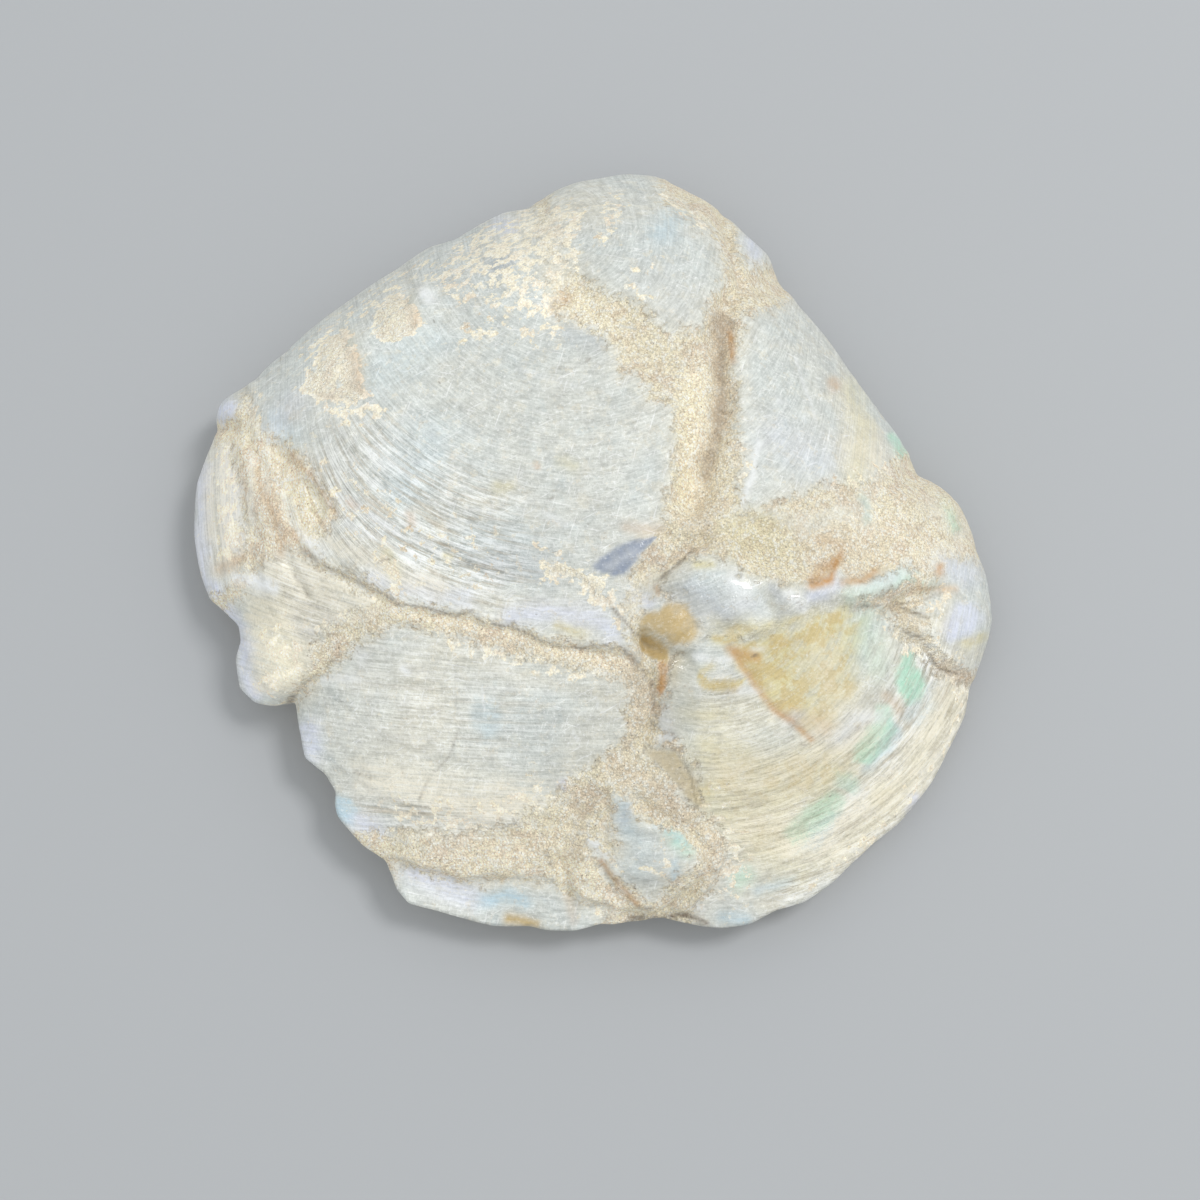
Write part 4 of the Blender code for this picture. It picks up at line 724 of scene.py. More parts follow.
        Mark(((-22.5, -9.8), (-22.7, -10.3)), 0.2, 0.9),
        Mark(((14.5, -2.0), (14.7, -2.8), (15.0, -3.1)), 0.07, 0.6),
        Mark(((11.3, -6.6), (11.5, -6.6)), 0.16, 0.8),
        Mark(((14.8, -13.2), (14.85, -13.25)), 0.12, 0.9),
        Mark(((-6.4, -4.1), (-6.35, -4.1)), 0.12, 0.9),
        Mark(((-0.9, 15.4), (-0.8, 15.4)), 0.12, 0.7),
        Mark(((-15.7, 0.6), (-15.6, 0.6)), 0.1, 0.8),
        Mark(((-3.0, 6.5), (-3.8, 4.5), (-4.0, 3.5)), 0.06, 0.4),
    ),
    "film": (
        Patch(((-13.0, 20.8), (-9.0, 19.0), (-4.0, 18.6), (-1.6, 20.2), (-1.6, 26.6), (-4.6, 25.9),
               (-9.0, 24.2)),
              1.4, 0.55),
        Mark(((-5.0, 23.4), (-2.6, 25.8)), 1.2, 0.4),
        Mark(((-9.6, 17.0), (-6.8, 18.0), (-3.0, 17.4)), 0.9, 0.4),
        Mark(((0.4, 24.6), (1.0, 26.6)), 0.8, 0.5),
        Mark(((3.2, 22.2), (4.4, 22.6)), 0.5, 0.6),
        Mark(((2.6, 21.0), (3.2, 20.0)), 0.6, 0.4),
        Mark(((4.8, 27.0), (6.6, 25.9), (7.8, 24.8)), 0.4, 0.7),
        Patch(((-16.7, 17.0), (-16.6, 18.8), (-15.0, 20.1), (-13.7, 19.0), (-13.1, 17.8), (-13.8, 16.8),
               (-15.2, 16.4)),
              0.8, 1.0),
        Patch(((-22.2, 12.8), (-21.8, 14.2), (-19.8, 17.0), (-18.4, 17.4), (-17.8, 15.4), (-17.3, 13.4),
               (-17.0, 12.4),
               (-18.6, 12.2), (-20.6, 12.2)), 0.9, 1.0),
        Mark(((-18.6, 12.4), (-16.2, 11.0)), 0.5, 0.7),
        Mark(((-21.8, 15.4), (-17.0, 19.2), (-12.6, 22.0)), 0.6, 0.35),
        Mark(((-19.6, 11.4), (-17.2, 11.0)), 0.8, 0.5),
        Mark(((-25.5, 12.2), (-25.4, 9.4)), 0.5, 0.8),
        Mark(((-4.6, 1.5), (-3.2, 1.0)), 0.35, 0.9),
        Mark(((-4.0, -0.3), (-1.2, -0.7), (-0.2, -1.6)), 0.7, 0.95),
        Mark(((-0.4, -2.2), (0.9, -2.6), (1.6, -3.8)), 0.7, 0.85),
        Mark(((-9.8, -1.3), (-8.2, -1.6)), 0.4, 0.5),
        Mark(((10.4, 8.6), (10.6, 6.2)), 0.6, 0.6),
        Mark(((-27.4, 1.2), (-25.8, 0.2)), 0.8, 0.5),
        Mark(((-27.0, 8.0), (-27.2, 4.0), (-26.6, 0.6)), 0.9, 0.6),
        Mark(((-23.4, -5.8), (-22.2, -7.0), (-23.6, -8.8)), 1.3, 0.6),
        Mark(((-20.4, -4.4), (-18.0, -3.6), (-16.2, -3.0)), 0.6, 0.8),
        Mark(((24.2, -6.0), (25.6, -7.4), (26.6, -9.6)), 0.8, 0.6),
        Mark(((25.4, -1.8), (24.6, -3.4)), 0.6, 0.6),
        Mark(((8.6, -17.6), (9.6, -20.6), (9.2, -23.6)), 1.5, 0.42),
        Mark(((21.2, -4.4), (22.6, -5.6)), 0.7, 0.6),
        Mark(((4.8, -20.8), (4.6, -22.6), (3.2, -22.6)), 0.4, 0.5),
        Mark(((0.9, -21.9), (1.7, -22.1)), 0.35, 0.7),
        Mark(((-9.0, -20.2), (-13.6, -20.6)), 0.8, 0.45),
        Mark(((-14.6, -18.6), (-7.0, -18.8), (-4.6, -16.6)), 1.2, 0.5),
        Mark(((-20.0, 6.6), (-16.0, 3.4), (-10.0, 1.0)), 2.4, 0.22),
        Mark(((-4.6, -18.8), (-2.4, -17.2)), 0.9, 0.5),
        Mark(((-1.2, -24.0), (0.8, -25.6)), 0.9, 0.55),
        Mark(((26.8, -10.0), (24.6, -14.6), (20.2, -19.6), (15.0, -23.8)), 0.5, 0.35),
        Mark(((-15.8, 1.2), (-15.2, -1.6)), 0.7, 0.55),
        Mark(((16.6, 5.4), (20.0, 6.2), (22.0, 7.0)), 0.8, 0.45),
        Mark(((0.6, -8.4), (-5.0, -7.2), (-11.0, -5.6)), 0.5, 0.5),
    ),
    "veil": (
        Patch(((-25.6, -1.0), (-24.4, 0.8), (-22.8, 1.6), (-20.6, 0.4), (-17.6, -1.4), (-16.2, -2.4),
               (-18.0, -3.6),
               (-20.6, -5.4), (-20.9, -7.6), (-22.2, -9.4), (-25.4, -9.6), (-26.0, -5.0)), 1.0, 0.5),
        Mark(((-27.0, 8.6), (-27.2, 4.0), (-26.6, 0.4)), 1.1, 0.8),
        Mark(((-28.4, 6.6), (-28.6, 2.0)), 0.5, 0.5),
        Mark(((-14.0, -20.8), (-6.0, -21.6)), 1.4, 0.7),
        Mark(((9.6, -15.6), (14.0, -15.4), (19.0, -12.4)), 1.8, 0.7),
        Mark(((11.0, -19.6), (16.6, -20.6), (22.6, -15.4), (25.6, -9.6)), 1.6, 0.8),
        Mark(((16.4, -6.6), (17.4, -9.6), (16.4, -11.6)), 1.2, 0.6),
        Mark(((18.6, 9.0), (20.6, 7.4)), 0.8, 0.5),
        Mark(((-21.4, 2.6), (-16.6, 0.2), (-12.0, -1.4)), 0.8, 0.6),
        Mark(((-16.6, -15.8), (-9.0, -17.8), (-5.0, -17.0)), 1.5, 0.75),
    ),
    # Painted light: the bright marks lighten the left end, the lower left, the seams and the lower edge of
    # the clear lump, where the lamp leaves them darker.
    "bright": (
        Mark(((-27.6, 9.0), (-27.8, 0.0), (-25.0, -8.0)), 3.4, 0.62),
        Mark(((-24.4, 8.0), (-22.4, 5.6), (-21.4, 4.4)), 1.9, 0.9),
        Mark(((-18.6, 4.6), (-13.0, 1.2)), 2.6, 0.3),
        Mark(((-21.4, -13.0), (-19.6, -17.6), (-15.0, -24.0), (-9.0, -26.0)), 1.8, 0.6),
        Mark(((-6.0, -9.0), (-10.0, -7.0), (-16.0, -11.0), (-8.0, -14.0)), 3.4, 0.3),
        Mark(((-24.8, 7.0), (-24.2, 2.0)), 1.4, 0.4),
        Mark(((-22.8, 8.2), (-20.8, 5.8), (-19.6, 4.0)), 0.6, 0.7),
        Mark(((-23.6, 3.0), (-23.0, 0.0)), 1.8, 0.7),
        Mark(((-16.0, 11.0), (-14.0, 6.0), (-16.0, 0.0)), 5.0, 0.32),
        Mark(((-21.0, -9.0), (-17.0, -15.0), (-8.0, -21.0), (0.0, -24.0)), 3.4, 0.42),
        Mark(((-24.0, -8.0), (-23.0, -4.0)), 1.8, 0.5),
        Mark(((-13.0, -6.0), (-13.0, -12.0)), 5.0, 0.32),
        Mark(((-20.0, -0.6), (-15.0, -3.0), (-13.0, -3.6), (-6.0, -5.0), (2.0, -7.2)), 0.7, 0.8),
        Mark(((9.0, -21.0), (18.0, -20.0), (25.0, -12.0)), 2.2, 0.45),
        Mark(((-21.0, 14.0), (-13.0, 18.0)), 2.2, 0.5),
        Mark(((-5.0, 20.0), (0.0, 18.8)), 1.8, 0.4),
        Mark(((7.0, 14.0), (6.8, 9.0), (6.4, 5.0)), 1.0, 0.55),
        Mark(((-22.0, 2.6), (-20.4, 0.6)), 1.0, 0.8),
        Mark(((7.0, -4.6), (10.4, -4.7), (13.6, -4.2), (16.4, -2.9)), 0.7, 0.8),
        Mark(((24.0, 0.6), (20.0, 3.0)), 2.0, 0.3),
        Mark(((23.4, -3.0), (25.0, -7.6)), 0.8, 0.6),
    ),
    "window": (
        Mark(((-23.1, 5.2), (-22.6, 3.6), (-22.0, 2.4), (-20.8, 0.6)), 0.4, 0.9),
        Mark(((-24.3, 8.8), (-24.5, 5.0)), 0.22, 0.5),
        Mark(((-25.5, 7.6), (-25.6, 3.0)), 0.3, 0.7),
        Mark(((-26.6, -1.2), (-25.4, -1.2), (-24.0, -1.9)), 0.6, 1.0),
        Mark(((9.8, 3.6), (10.4, 2.8)), 0.6, 0.4),
        Patch(((-3.6, 27.4), (-4.4, 22.0), (-3.0, 20.6), (-1.6, 22.0), (-1.0, 24.0), (0.6, 27.8)),
               1.0, 0.9),
        Mark(((19.4, 5.0), (19.7, 3.4)), 0.7, 0.9),
        Mark(((15.4, 3.2), (18.0, 3.8)), 0.8, 0.7),
        Mark(((12.6, 3.7), (14.0, 3.1)), 0.7, 0.6),
        Mark(((24.4, 4.2), (26.4, 2.0)), 0.8, 0.6),
        Mark(((2.6, -2.2), (4.4, -1.2)), 0.9, 0.85),
        Mark(((0.6, -20.0), (1.8, -17.2)), 0.6, 0.5),
        Mark(((25.0, 0.3), (27.0, -0.6)), 0.9, 0.8),
    ),
    "warm_and_shade": (
        # Pinkish sand, partly painted shade, in the valley beside the vertical seam.
        Mark(((9.0, 18.4), (8.8, 15.0), (8.8, 11.0), (8.0, 7.0), (7.6, 4.0)), 0.9, 0.9),
        Mark(((-24.4, 6.0), (-23.2, 1.2)), 1.2, 0.8),
        Mark(((20.0, 1.6), (16.0, 1.6)), 1.6, 0.6),
        Mark(((24.0, -5.0), (24.6, -2.0)), 1.4, 0.9),
        Mark(((-11.0, -4.6), (-3.0, -6.2), (2.0, -7.6), (3.4, -11.6)), 0.9, 0.7),
        Mark(((2.0, -15.4), (6.0, -17.4)), 1.4, 0.9),
        Mark(((8.4, -19.0), (9.0, -24.0)), 1.4, 0.8),
        Mark(((-12.0, -21.6), (-4.0, -21.0)), 1.2, 0.5),
        # Golden sand, partly painted shade, on the right edges of the two sand flakes.
        Mark(((-18.2, 16.8), (-17.7, 13.4)), 0.9, 1.0),
        Mark(((-14.0, 19.4), (-13.6, 17.6)), 0.5, 0.8),
        Mark(((-23.2, 8.0), (-21.4, 4.0)), 0.6, 0.4),
    ),
    "clear": (
        Mark(((6.4, -0.8), (9.0, -1.6), (12.4, -3.0), (15.6, -2.4), (17.6, -1.6)), 1.4, 1.0),
        Mark(((5.0, -3.2), (5.4, -5.0)), 1.2, 0.3),
        Mark(((7.4, -4.4), (10.4, -4.5), (13.4, -4.2), (16.0, -3.0)), 0.7, 0.9),
        Mark(((5.8, -7.4), (5.8, -11.6)), 1.0, 0.45),
        Mark(((18.6, -2.0), (22.6, -0.7)), 0.7, 0.5),
        Mark(((5.4, -14.2), (6.8, -17.0)), 0.7, 0.4),
        Mark(((2.0, 0.9), (3.0, 1.5)), 0.7, 0.3),
    ),
    "ribs": (
        Mark(((-20.6, 5.0), (-14.4, 1.6), (-8.0, 0.0)), 3.0, 1.0),
        Mark(((-17.0, 8.6), (-9.0, 4.6)), 2.8, 0.75),
        Mark(((-8.0, -11.0), (-14.0, -9.0)), 4.0, 0.35),
        Mark(((9.6, -16.0), (14.0, -15.6), (18.8, -13.0)), 2.6, 1.0),
        Mark(((11.0, -20.0), (17.0, -18.6), (22.4, -13.0), (24.0, -8.0)), 2.4, 1.0),
        Mark(((-16.0, -18.0), (-7.0, -19.4)), 1.8, 0.9),
        Mark(((-27.8, 7.0), (-28.2, 1.0)), 1.4, 0.4),
        Mark(((-23.0, -1.0), (-21.0, -4.0)), 1.8, 0.7),
        Mark(((-25.0, 8.0), (-24.4, 1.0)), 1.6, 0.25),
        Mark(((8.0, -9.4), (12.0, -10.6)), 2.2, 0.6),
        Mark(((26.0, -9.0), (21.0, -18.6), (14.0, -24.0)), 1.4, 0.9),
    ),
}

# Painted light: the bright marks lighten places which the lamp leaves darker.
PAINTED_LIGHT_GAIN = 0.32  # how much lighter the strongest bright mark makes the surface

# The stage, in metres
FLOOR_HALF = 3.0
LIGHT_PLACE = (0.24, 0.10, 0.46)
LIGHT_SIZE = 0.14
ROOM_COLOUR = (0.95, 0.98, 1.0, 1.0)

EYE = (
    0.0,
    EYE_AIM * math.sin(EYE_ELEVATION) - EYE_DISTANCE * math.cos(EYE_ELEVATION),
    LANDMARK_ORIGIN + EYE_AIM * math.cos(EYE_ELEVATION) + EYE_DISTANCE * math.sin(EYE_ELEVATION),
)


def seen_at(x, y, z):
    """The landmark coordinates at which the eye sees a point."""
    along = (y - EYE[1]) * math.cos(EYE_ELEVATION) - (z - EYE[2]) * math.sin(EYE_ELEVATION)
    above = (y - EYE[1]) * math.sin(EYE_ELEVATION) + (z - EYE[2]) * math.cos(EYE_ELEVATION)
    return (x - EYE[0]) * EYE_DISTANCE / along, above * EYE_DISTANCE / along + EYE_AIM


def plan_at(u, v, z):
    """The x and y of the point at height z that the eye sees at a landmark."""
    on_plane_y = v * math.sin(EYE_ELEVATION)
    on_plane_z = LANDMARK_ORIGIN + v * math.cos(EYE_ELEVATION)
    share = (z - EYE[2]) / (on_plane_z - EYE[2])
    return EYE[0] + share * (u - EYE[0]), EYE[1] + share * (on_plane_y - EYE[1])


def smooth(t):
    """0 below 0, 1 above 1, and an even curve between."""
    t = np.clip(t, 0.0, 1.0)
    return t * t * (3.0 - 2.0 * t)


def lattice(ix, iy, seed):
    """A fixed number from -1 to 1 for each corner of a square lattice."""
    n = (ix * 374761393 + iy * 668265263 + seed * 1442695041) & 0xFFFFFFFF
    n = ((n ^ (n >> 13)) * 1274126177) & 0xFFFFFFFF
    return ((n ^ (n >> 16)) & 0xFFFF) / 32767.5 - 1.0


def noise(u, v, size, seed):
    """Smooth noise from -1 to 1, whose lumps are about size across."""
    u = u / size + seed * 17.3
    v = v / size - seed * 9.1
    ix = np.floor(u).astype(np.int64)
    iy = np.floor(v).astype(np.int64)
    tu = smooth(u - ix)
    tv = smooth(v - iy)
    low = lattice(ix, iy, seed) * (1 - tu) + lattice(ix + 1, iy, seed) * tu
    high = lattice(ix, iy + 1, seed) * (1 - tu) + lattice(ix + 1, iy + 1, seed) * tu
    return low * (1 - tv) + high * tv


def cloud(u, v, size, seed, layers=3):
    """Layers of noise, each half the size and half the strength of the one before."""
    total = 0.0
    for layer in range(layers):
        turn = 0.6 + 1.1 * layer
        ru = u * math.cos(turn) - v * math.sin(turn)
        rv = u * math.sin(turn) + v * math.cos(turn)
        total = total + noise(ru, rv, size / 2**layer, seed + layer) / 2**layer
    return total


def distance_to_line(u, v, line):
    """How far each point is from a line of landmarks."""
    nearest = np.full(np.shape(u), np.inf)
    for (au, av), (bu, bv) in zip(line, line[1:]):
        du, dv = bu - au, bv - av
        share = np.clip(((u - au) * du + (v - av) * dv) / (du * du + dv * dv), 0.0, 1.0)
        nearest = np.minimum(nearest, np.hypot(u - au - share * du, v - av - share * dv))
    return nearest


def depth_inside(u, v, edge):
    """How far each point is inside a closed outline, below 0 outside it."""
    closed = tuple(edge) + (edge[0],)
    inside = np.zeros(np.shape(u), dtype=bool)
    for (au, av), (bu, bv) in zip(closed, closed[1:]):
        if av != bv:
            crosses = ((av > v) != (bv > v)) & (u < (bu - au) * (v - av) / (bv - av) + au)
            inside ^= crosses
    return np.where(inside, 1.0, -1.0) * distance_to_line(u, v, closed)


def oval(u, v, lump):
    """1 at a lump's centre, falling smoothly to 0 a little past its radii."""
    turn = math.radians(lump.turn)
    du, dv = u - lump.centre[0], v - lump.centre[1]
    along = (du * math.cos(turn) + dv * math.sin(turn)) / lump.radii[0]
    across = (dv * math.cos(turn) - du * math.sin(turn)) / lump.radii[1]
    return np.exp(-LUMP_FALL * (along * along + across * across))


def growth(u, v):
    """Distance from the umbo in growth lines: round near it, and following the edge near the margin."""
    du, dv = u - UMBO[0], UMBO[1] - v
    reach = np.hypot(du, dv)
    angle = np.abs(np.arctan2(du, dv))
    edge_reach = GROWTH_LENGTH * (1.0 - GROWTH_NARROWING * smooth((angle - 0.25) / 1.15))
    by_edge = reach / edge_reach * GROWTH_LENGTH
    share = smooth((by_edge - GROWTH_BLEND[0]) / (GROWTH_BLEND[1] - GROWTH_BLEND[0]))
    return reach * (1 - share) + by_edge * share


def fine_growth(u, v):
    """The growth lines that are too fine for the solid, and how far along them each landmark is."""
    du, dv = u - UMBO[0], UMBO[1] - v
    age, along = growth(u, v), np.arctan2(du, dv) * np.hypot(du, dv)
    for plate in PLATES:
        if plate.name in LINES_ABOUT:
            centre, squeeze = LINES_ABOUT[plate.name]
            du, dv = (u - centre[0]) * squeeze, centre[1] - v
            here = depth_inside(u, v, plate.edge) > LINES_REACH
            age = np.where(here, np.hypot(du, dv), age)
            along = np.where(here, np.arctan2(du, dv) * np.hypot(du, dv), along)
    return age, along


def relief(u, v):
    """How far the surface stands above the smooth dome, and how far inside a plate each landmark is."""
    wander = EDGE_WANDER * cloud(u, v, 1.8, 11)
    sway = EDGE_WANDER * cloud(u, v, 1.8, 23)
    height = MATRIX_LEVEL + MATRIX_RELIEF * cloud(u, v, 2.2, 3)
    laid = []
    for plate in PLATES:
        middle = np.mean(plate.edge, axis=0)
        inside = depth_inside(u + wander, v + sway, plate.edge)
        top = plate.lift + plate.climb[0] * (u - middle[0]) + plate.climb[1] * (v - middle[1])
        height = height + (top - height) * BANK_SHARE * np.exp(np.minimum(inside, 0.0) / BANK_REACH)
        laid.append((top, inside, smooth(inside / plate.bevel * 0.5 + 0.5)))
    opal = np.zeros(np.shape(u))
    for top, _, cover in laid:
        height = height + (top - height) * cover
        opal = opal + (1.0 - opal) * cover
    depth = np.max([inside for _, inside, _ in laid], axis=0)
    age = growth(u, v)
    for place, drop, width in LEDGES:
        worn = 0.65 + 0.35 * noise(u, v, 5.0, int(place))
        height = height - worn * drop * opal * smooth((age + 0.5 * wander - place) / width)
    for groove in GROOVES:
        far = distance_to_line(u + 0.5 * wander, v + 0.5 * sway, groove.line)
        height = height - groove.depth * np.exp(-((far / groove.width) ** 2))
    for lump in LUMPS:
        height = height + lump.height * oval(u, v, lump)
    return height + SHELL_RIPPLE * cloud(u, v, 4.5, 31, 2), depth


def marked(u, v, name):
    """How strongly each landmark carries one kind of mark, from 0 to 1."""
    bend = 0.25 * cloud(u, v, 1.4, 61)
    sway = 0.25 * cloud(u, v, 1.4, 67)
    left = np.ones(np.shape(u))
    for mark in MARKS[name]:
        if isinstance(mark, Patch):
            share = smooth(depth_inside(u + bend, v + sway, mark.edge) / mark.soft + 0.5)
        else:
            wander = min(1.0, mark.width / 0.6)
            far = distance_to_line(u + wander * bend, v + wander * sway, mark.line) / mark.width
            share = np.exp(-far * far)
        left = left * (1.0 - mark.strength * share)
    return 1.0 - left


def fine_relief(u, v, depth):
    """The relief that is too fine for the solid: sand lumps, pits and growth ridges."""
    sand = 1.0 - smooth(depth / 0.5 + 0.5)
    sandy = np.maximum(sand, 0.8 * marked(u, v, "film") * smooth(cloud(u, v, 0.9, 71) + 0.6))
    lumps = 0.13 * cloud(u, v, 1.9, 75, 2) + 0.15 * cloud(u, v, 0.9, 73, 2) + 0.05 * noise(u, v, 0.45, 79)
    age = fine_growth(u, v)[0] + 0.22 * cloud(u, v, 3.0, 83, 3)
    ribs = np.sin(TAU * age / RIB_SPACING + 2.2 * noise(u, v, 4.0, 87)) * (0.6 + 0.4 * noise(u, v, 2.4, 89))
    fine_ribs = np.sin(TAU * age / FINE_RIB_SPACING + 2.0 * noise(u, v, 3.0, 91))
    ridged = (0.06 + 0.94 * marked(u, v, "ribs")) * (1.0 - sand)
    knobs = (0.05 * cloud(u, v, 2.0, 97) + 0.02 * cloud(u, v, 0.7, 99, 2)) * marked(u, v, "clear")
    return sandy * lumps + ridged * (RIB_HEIGHT * ribs + FINE_RIB_HEIGHT * fine_ribs) + knobs


def rim_height(angle, sizes):
    """Height of the valve's edge above the floor, in each direction from the middle."""
    lift = RIM_LIFT * np.cos(angle - RIM_LIFT_SIDE)
    return sizes.rim_height / MM + lift + RIM_WAVE * np.sin(5 * angle + 1.0)


def softened(radius, spread):
    """A round outline with its chips smoothed over a spread of so many radians."""
    waves = np.fft.rfft(radius)
    number = np.arange(len(waves))
    return np.fft.irfft(waves * np.exp(-0.5 * (number * spread) ** 2), len(radius))


class Outline:
    """The valve's edge in plan: its radius in each direction, with and without its chips."""

    def __init__(self, sizes):
        u, v = np.array(RIM).T
        x, y = plan_at(u, v, rim_height(np.arctan2(v, u), sizes))
        angle = np.arctan2(y, x) % TAU
        order = np.argsort(angle)
        self.angles = np.arange(RIM_STEPS) * TAU / RIM_STEPS
        radius = np.interp(self.angles, angle[order], np.hypot(x, y)[order], period=TAU)
        self.chipped = softened(radius, CHIP_SPREAD)
        self.even = softened(radius, EVEN_SPREAD)

    def radii(self, angle):
        """The chipped and the even radius at each angle."""
        return tuple(np.interp(angle % TAU, self.angles, r, period=TAU) for r in (self.chipped, self.even))

    def middle(self):
        """The middle of the edge's box in plan."""
        x, y = self.chipped * np.cos(self.angles), self.chipped * np.sin(self.angles)
        return (x.min() + x.max()) / 2, (y.min() + y.max()) / 2


def dome(share, angle):
    """The smooth valve: 1 at its middle and 0 at its edge, full towards the umbo and gentle below."""
    upward = 0.5 + 0.5 * np.sin(angle) * smooth(1.4 * share)
    fullness = FULLNESS[0] + (FULLNESS[1] - FULLNESS[0]) * upward
    steepness = STEEPNESS[0] + (STEEPNESS[1] - STEEPNESS[0]) * upward
    return (1.0 - np.clip(share, 0.0, 1.0) ** fullness) ** steepness


def smooth_valve(share, angle, outline, sizes):
    """The radius and height of the valve without its relief, share of the way out to its edge."""
    chipped, even = outline.radii(angle)
    radius = share * (even + (chipped - even) * share**6)
    edge = sizes.rim_height / MM
    rise = (sizes.height - sizes.rim_height) / MM
    lean = APEX_LIFT * share * np.sin(angle) * (1.0 - share**2)
    edge = edge + (rim_height(angle, sizes) - edge) * share**2
    return radius, edge + rise * dome(share, angle) + lean


def flank_room(share, angle):
    """How far the valve without its relief lies in, which is only near its upper edge."""
    return FLANK_ROOM * smooth(2.0 * np.sin(angle) - 0.7) * smooth((share - 0.7) * 5.0)


def top_surface(share, angle, outline, sizes, fine=True):
    """The points of the upper side, out to the valve's edge, with the relief standing square to it."""
    radius, z = smooth_valve(share, angle, outline, sizes)
    near, near_z = smooth_valve(np.clip(share - SLOPE_STEP, 0.0, 1.0), angle, outline, sizes)
    far, far_z = smooth_valve(np.clip(share + SLOPE_STEP, 0.0, 1.0), angle, outline, sizes)
    slope = (near_z - far_z) / (far - near)
    u, v = seen_at(radius * np.cos(angle), radius * np.sin(angle), z)
    height, depth = relief(u, v)
    if fine:
        height = height + fine_relief(u, v, depth)
    stands = height - flank_room(share, angle)
    stands = stands * smooth((1.0 - share) * EDGE_FADE + EDGE_KEEPS) / np.hypot(1.0, slope)
    radius = radius + stands * slope
    return radius * np.cos(angle), radius * np.sin(angle), z + stands


def under_height(x, y):
    """The underside: matrix with shallow hollows, flat where its high spots touch the floor."""
    wander = REST_WANDER * cloud(x, y, 5.0, 43)
    height = UNDERSIDE_LEVEL + UNDERSIDE_RELIEF * cloud(x, y, 8.0, 41)
    for (rx, ry), length, width, turned in RESTS:
        turn = math.radians(turned)
        du, dv = x - rx + wander, y - ry - wander
        along = (du * math.cos(turn) + dv * math.sin(turn)) / length
        across = (dv * math.cos(turn) - du * math.sin(turn)) / width
        height = height - REST_SINK * smooth(REST_FALL - np.hypot(along, across))
    return np.maximum(height, 0.0)


def side_surface(down, angle, outline, sizes):
    """The edge of the valve: a thin band of opal, and under it the matrix, which stands back."""
    edge_x, edge_y, edge_z = top_surface(np.ones_like(angle), angle, outline, sizes, fine=False)
    _, even = outline.radii(angle)
    undercut = sizes.undercut / MM
    around = AROUND * np.cos(angle), AROUND * np.sin(angle)
    thickness = sizes.edge_thickness / MM * (1.0 + RAGGED * cloud(*around, 5.0, 51))
    ragged = 1.0 + RAGGED * cloud(*around, 3.0, 57)
    foot = even - undercut
    inner = np.hypot(edge_x, edge_y) - np.interp(down, SIDE_LEVELS, SIDE_STANDS_BACK) * undercut * ragged
    inner = inner + (foot - inner) * smooth(down * 2.0 - 1.0)
    shown = smooth(down * 6.0) * smooth(6.0 - down * 6.0)
    inner = inner + SIDE_GRAIN * noise(TAU * angle * 12.0, down * 9.0, 1.0, 101) * shown
    x, y = inner * np.cos(angle), inner * np.sin(angle)
    low = under_height(x, y)
    on_edge = np.interp(down, EDGE_LEVELS, EDGE_COMES_DOWN) * thickness
    past_edge = smooth((down - EDGE_LEVELS[-1]) / (1.0 - EDGE_LEVELS[-1]))
    on_matrix = thickness + (edge_z - thickness - low) * past_edge
    fall = np.where(down < THICKNESS_ENDS, on_edge, on_matrix)
    return x, y, edge_z - np.minimum(fall, edge_z - low)


def skin_pattern(name):
    """A flat box of cells, -1 to 1 across, whose level runs from 0 on top to -SIDE_RINGS below."""
    bm = bmesh.new()
    bmesh.ops.create_grid(bm, x_segments=TOP_CELLS, y_segments=TOP_CELLS, size=1.0)
    ring = [e for e in bm.edges if e.is_boundary]
    for _ in range(SIDE_RINGS):
        grown = bmesh.ops.extrude_edge_only(bm, edges=ring)["geom"]
        points = [g for g in grown if isinstance(g, bmesh.types.BMVert)]
        bmesh.ops.translate(bm, verts=points, vec=(0.0, 0.0, -1.0))
        ring = [g for g in grown if isinstance(g, bmesh.types.BMEdge) and g.is_boundary]
    top = set(bm.verts)
    bmesh.ops.create_grid(bm, x_segments=UNDER_CELLS, y_segments=UNDER_CELLS, size=1.0)
    under = [v for v in bm.verts if v not in top]
    bmesh.ops.translate(bm, verts=under, vec=(0.0, 0.0, -SIDE_RINGS))
    under_faces = {f for v in under for f in v.link_faces}
    bmesh.ops.reverse_faces(bm, faces=list(under_faces))
    rim = {e for v in under for e in v.link_edges if e.is_boundary}
    bmesh.ops.subdivide_edges(bm, edges=list(rim), cuts=TOP_CELLS // UNDER_CELLS - 1)
    bmesh.ops.remove_doubles(bm, verts=bm.verts, dist=0.1 / TOP_CELLS)
    bmesh.ops.triangulate(bm, faces=[f for f in bm.faces if len(f.verts) > 4])
    bmesh.ops.recalc_face_normals(bm, faces=bm.faces)
    mesh = bpy.data.meshes.new(name)
    bm.to_mesh(mesh)
    bm.free()
    return mesh


def read_points(mesh):
    """The mesh's points as three columns."""
    flat = np.empty(len(mesh.vertices) * 3)
    mesh.vertices.foreach_get("co", flat)
    return flat.reshape(-1, 3).T


def give_values(mesh, name, values):
    """Keeps one number for each point of the mesh, for the material to read."""
    mesh.attributes.new(name, "FLOAT", "POINT").data.foreach_set("value", values.astype(np.float32))


def give_vectors(mesh, name, *columns):
    """Keeps one vector for each point of the mesh, for the material to read."""
    stacked = np.stack(columns, axis=1).astype(np.float32).ravel()
    mesh.attributes.new(name, "FLOAT_VECTOR", "POINT").data.foreach_set("vector", stacked)


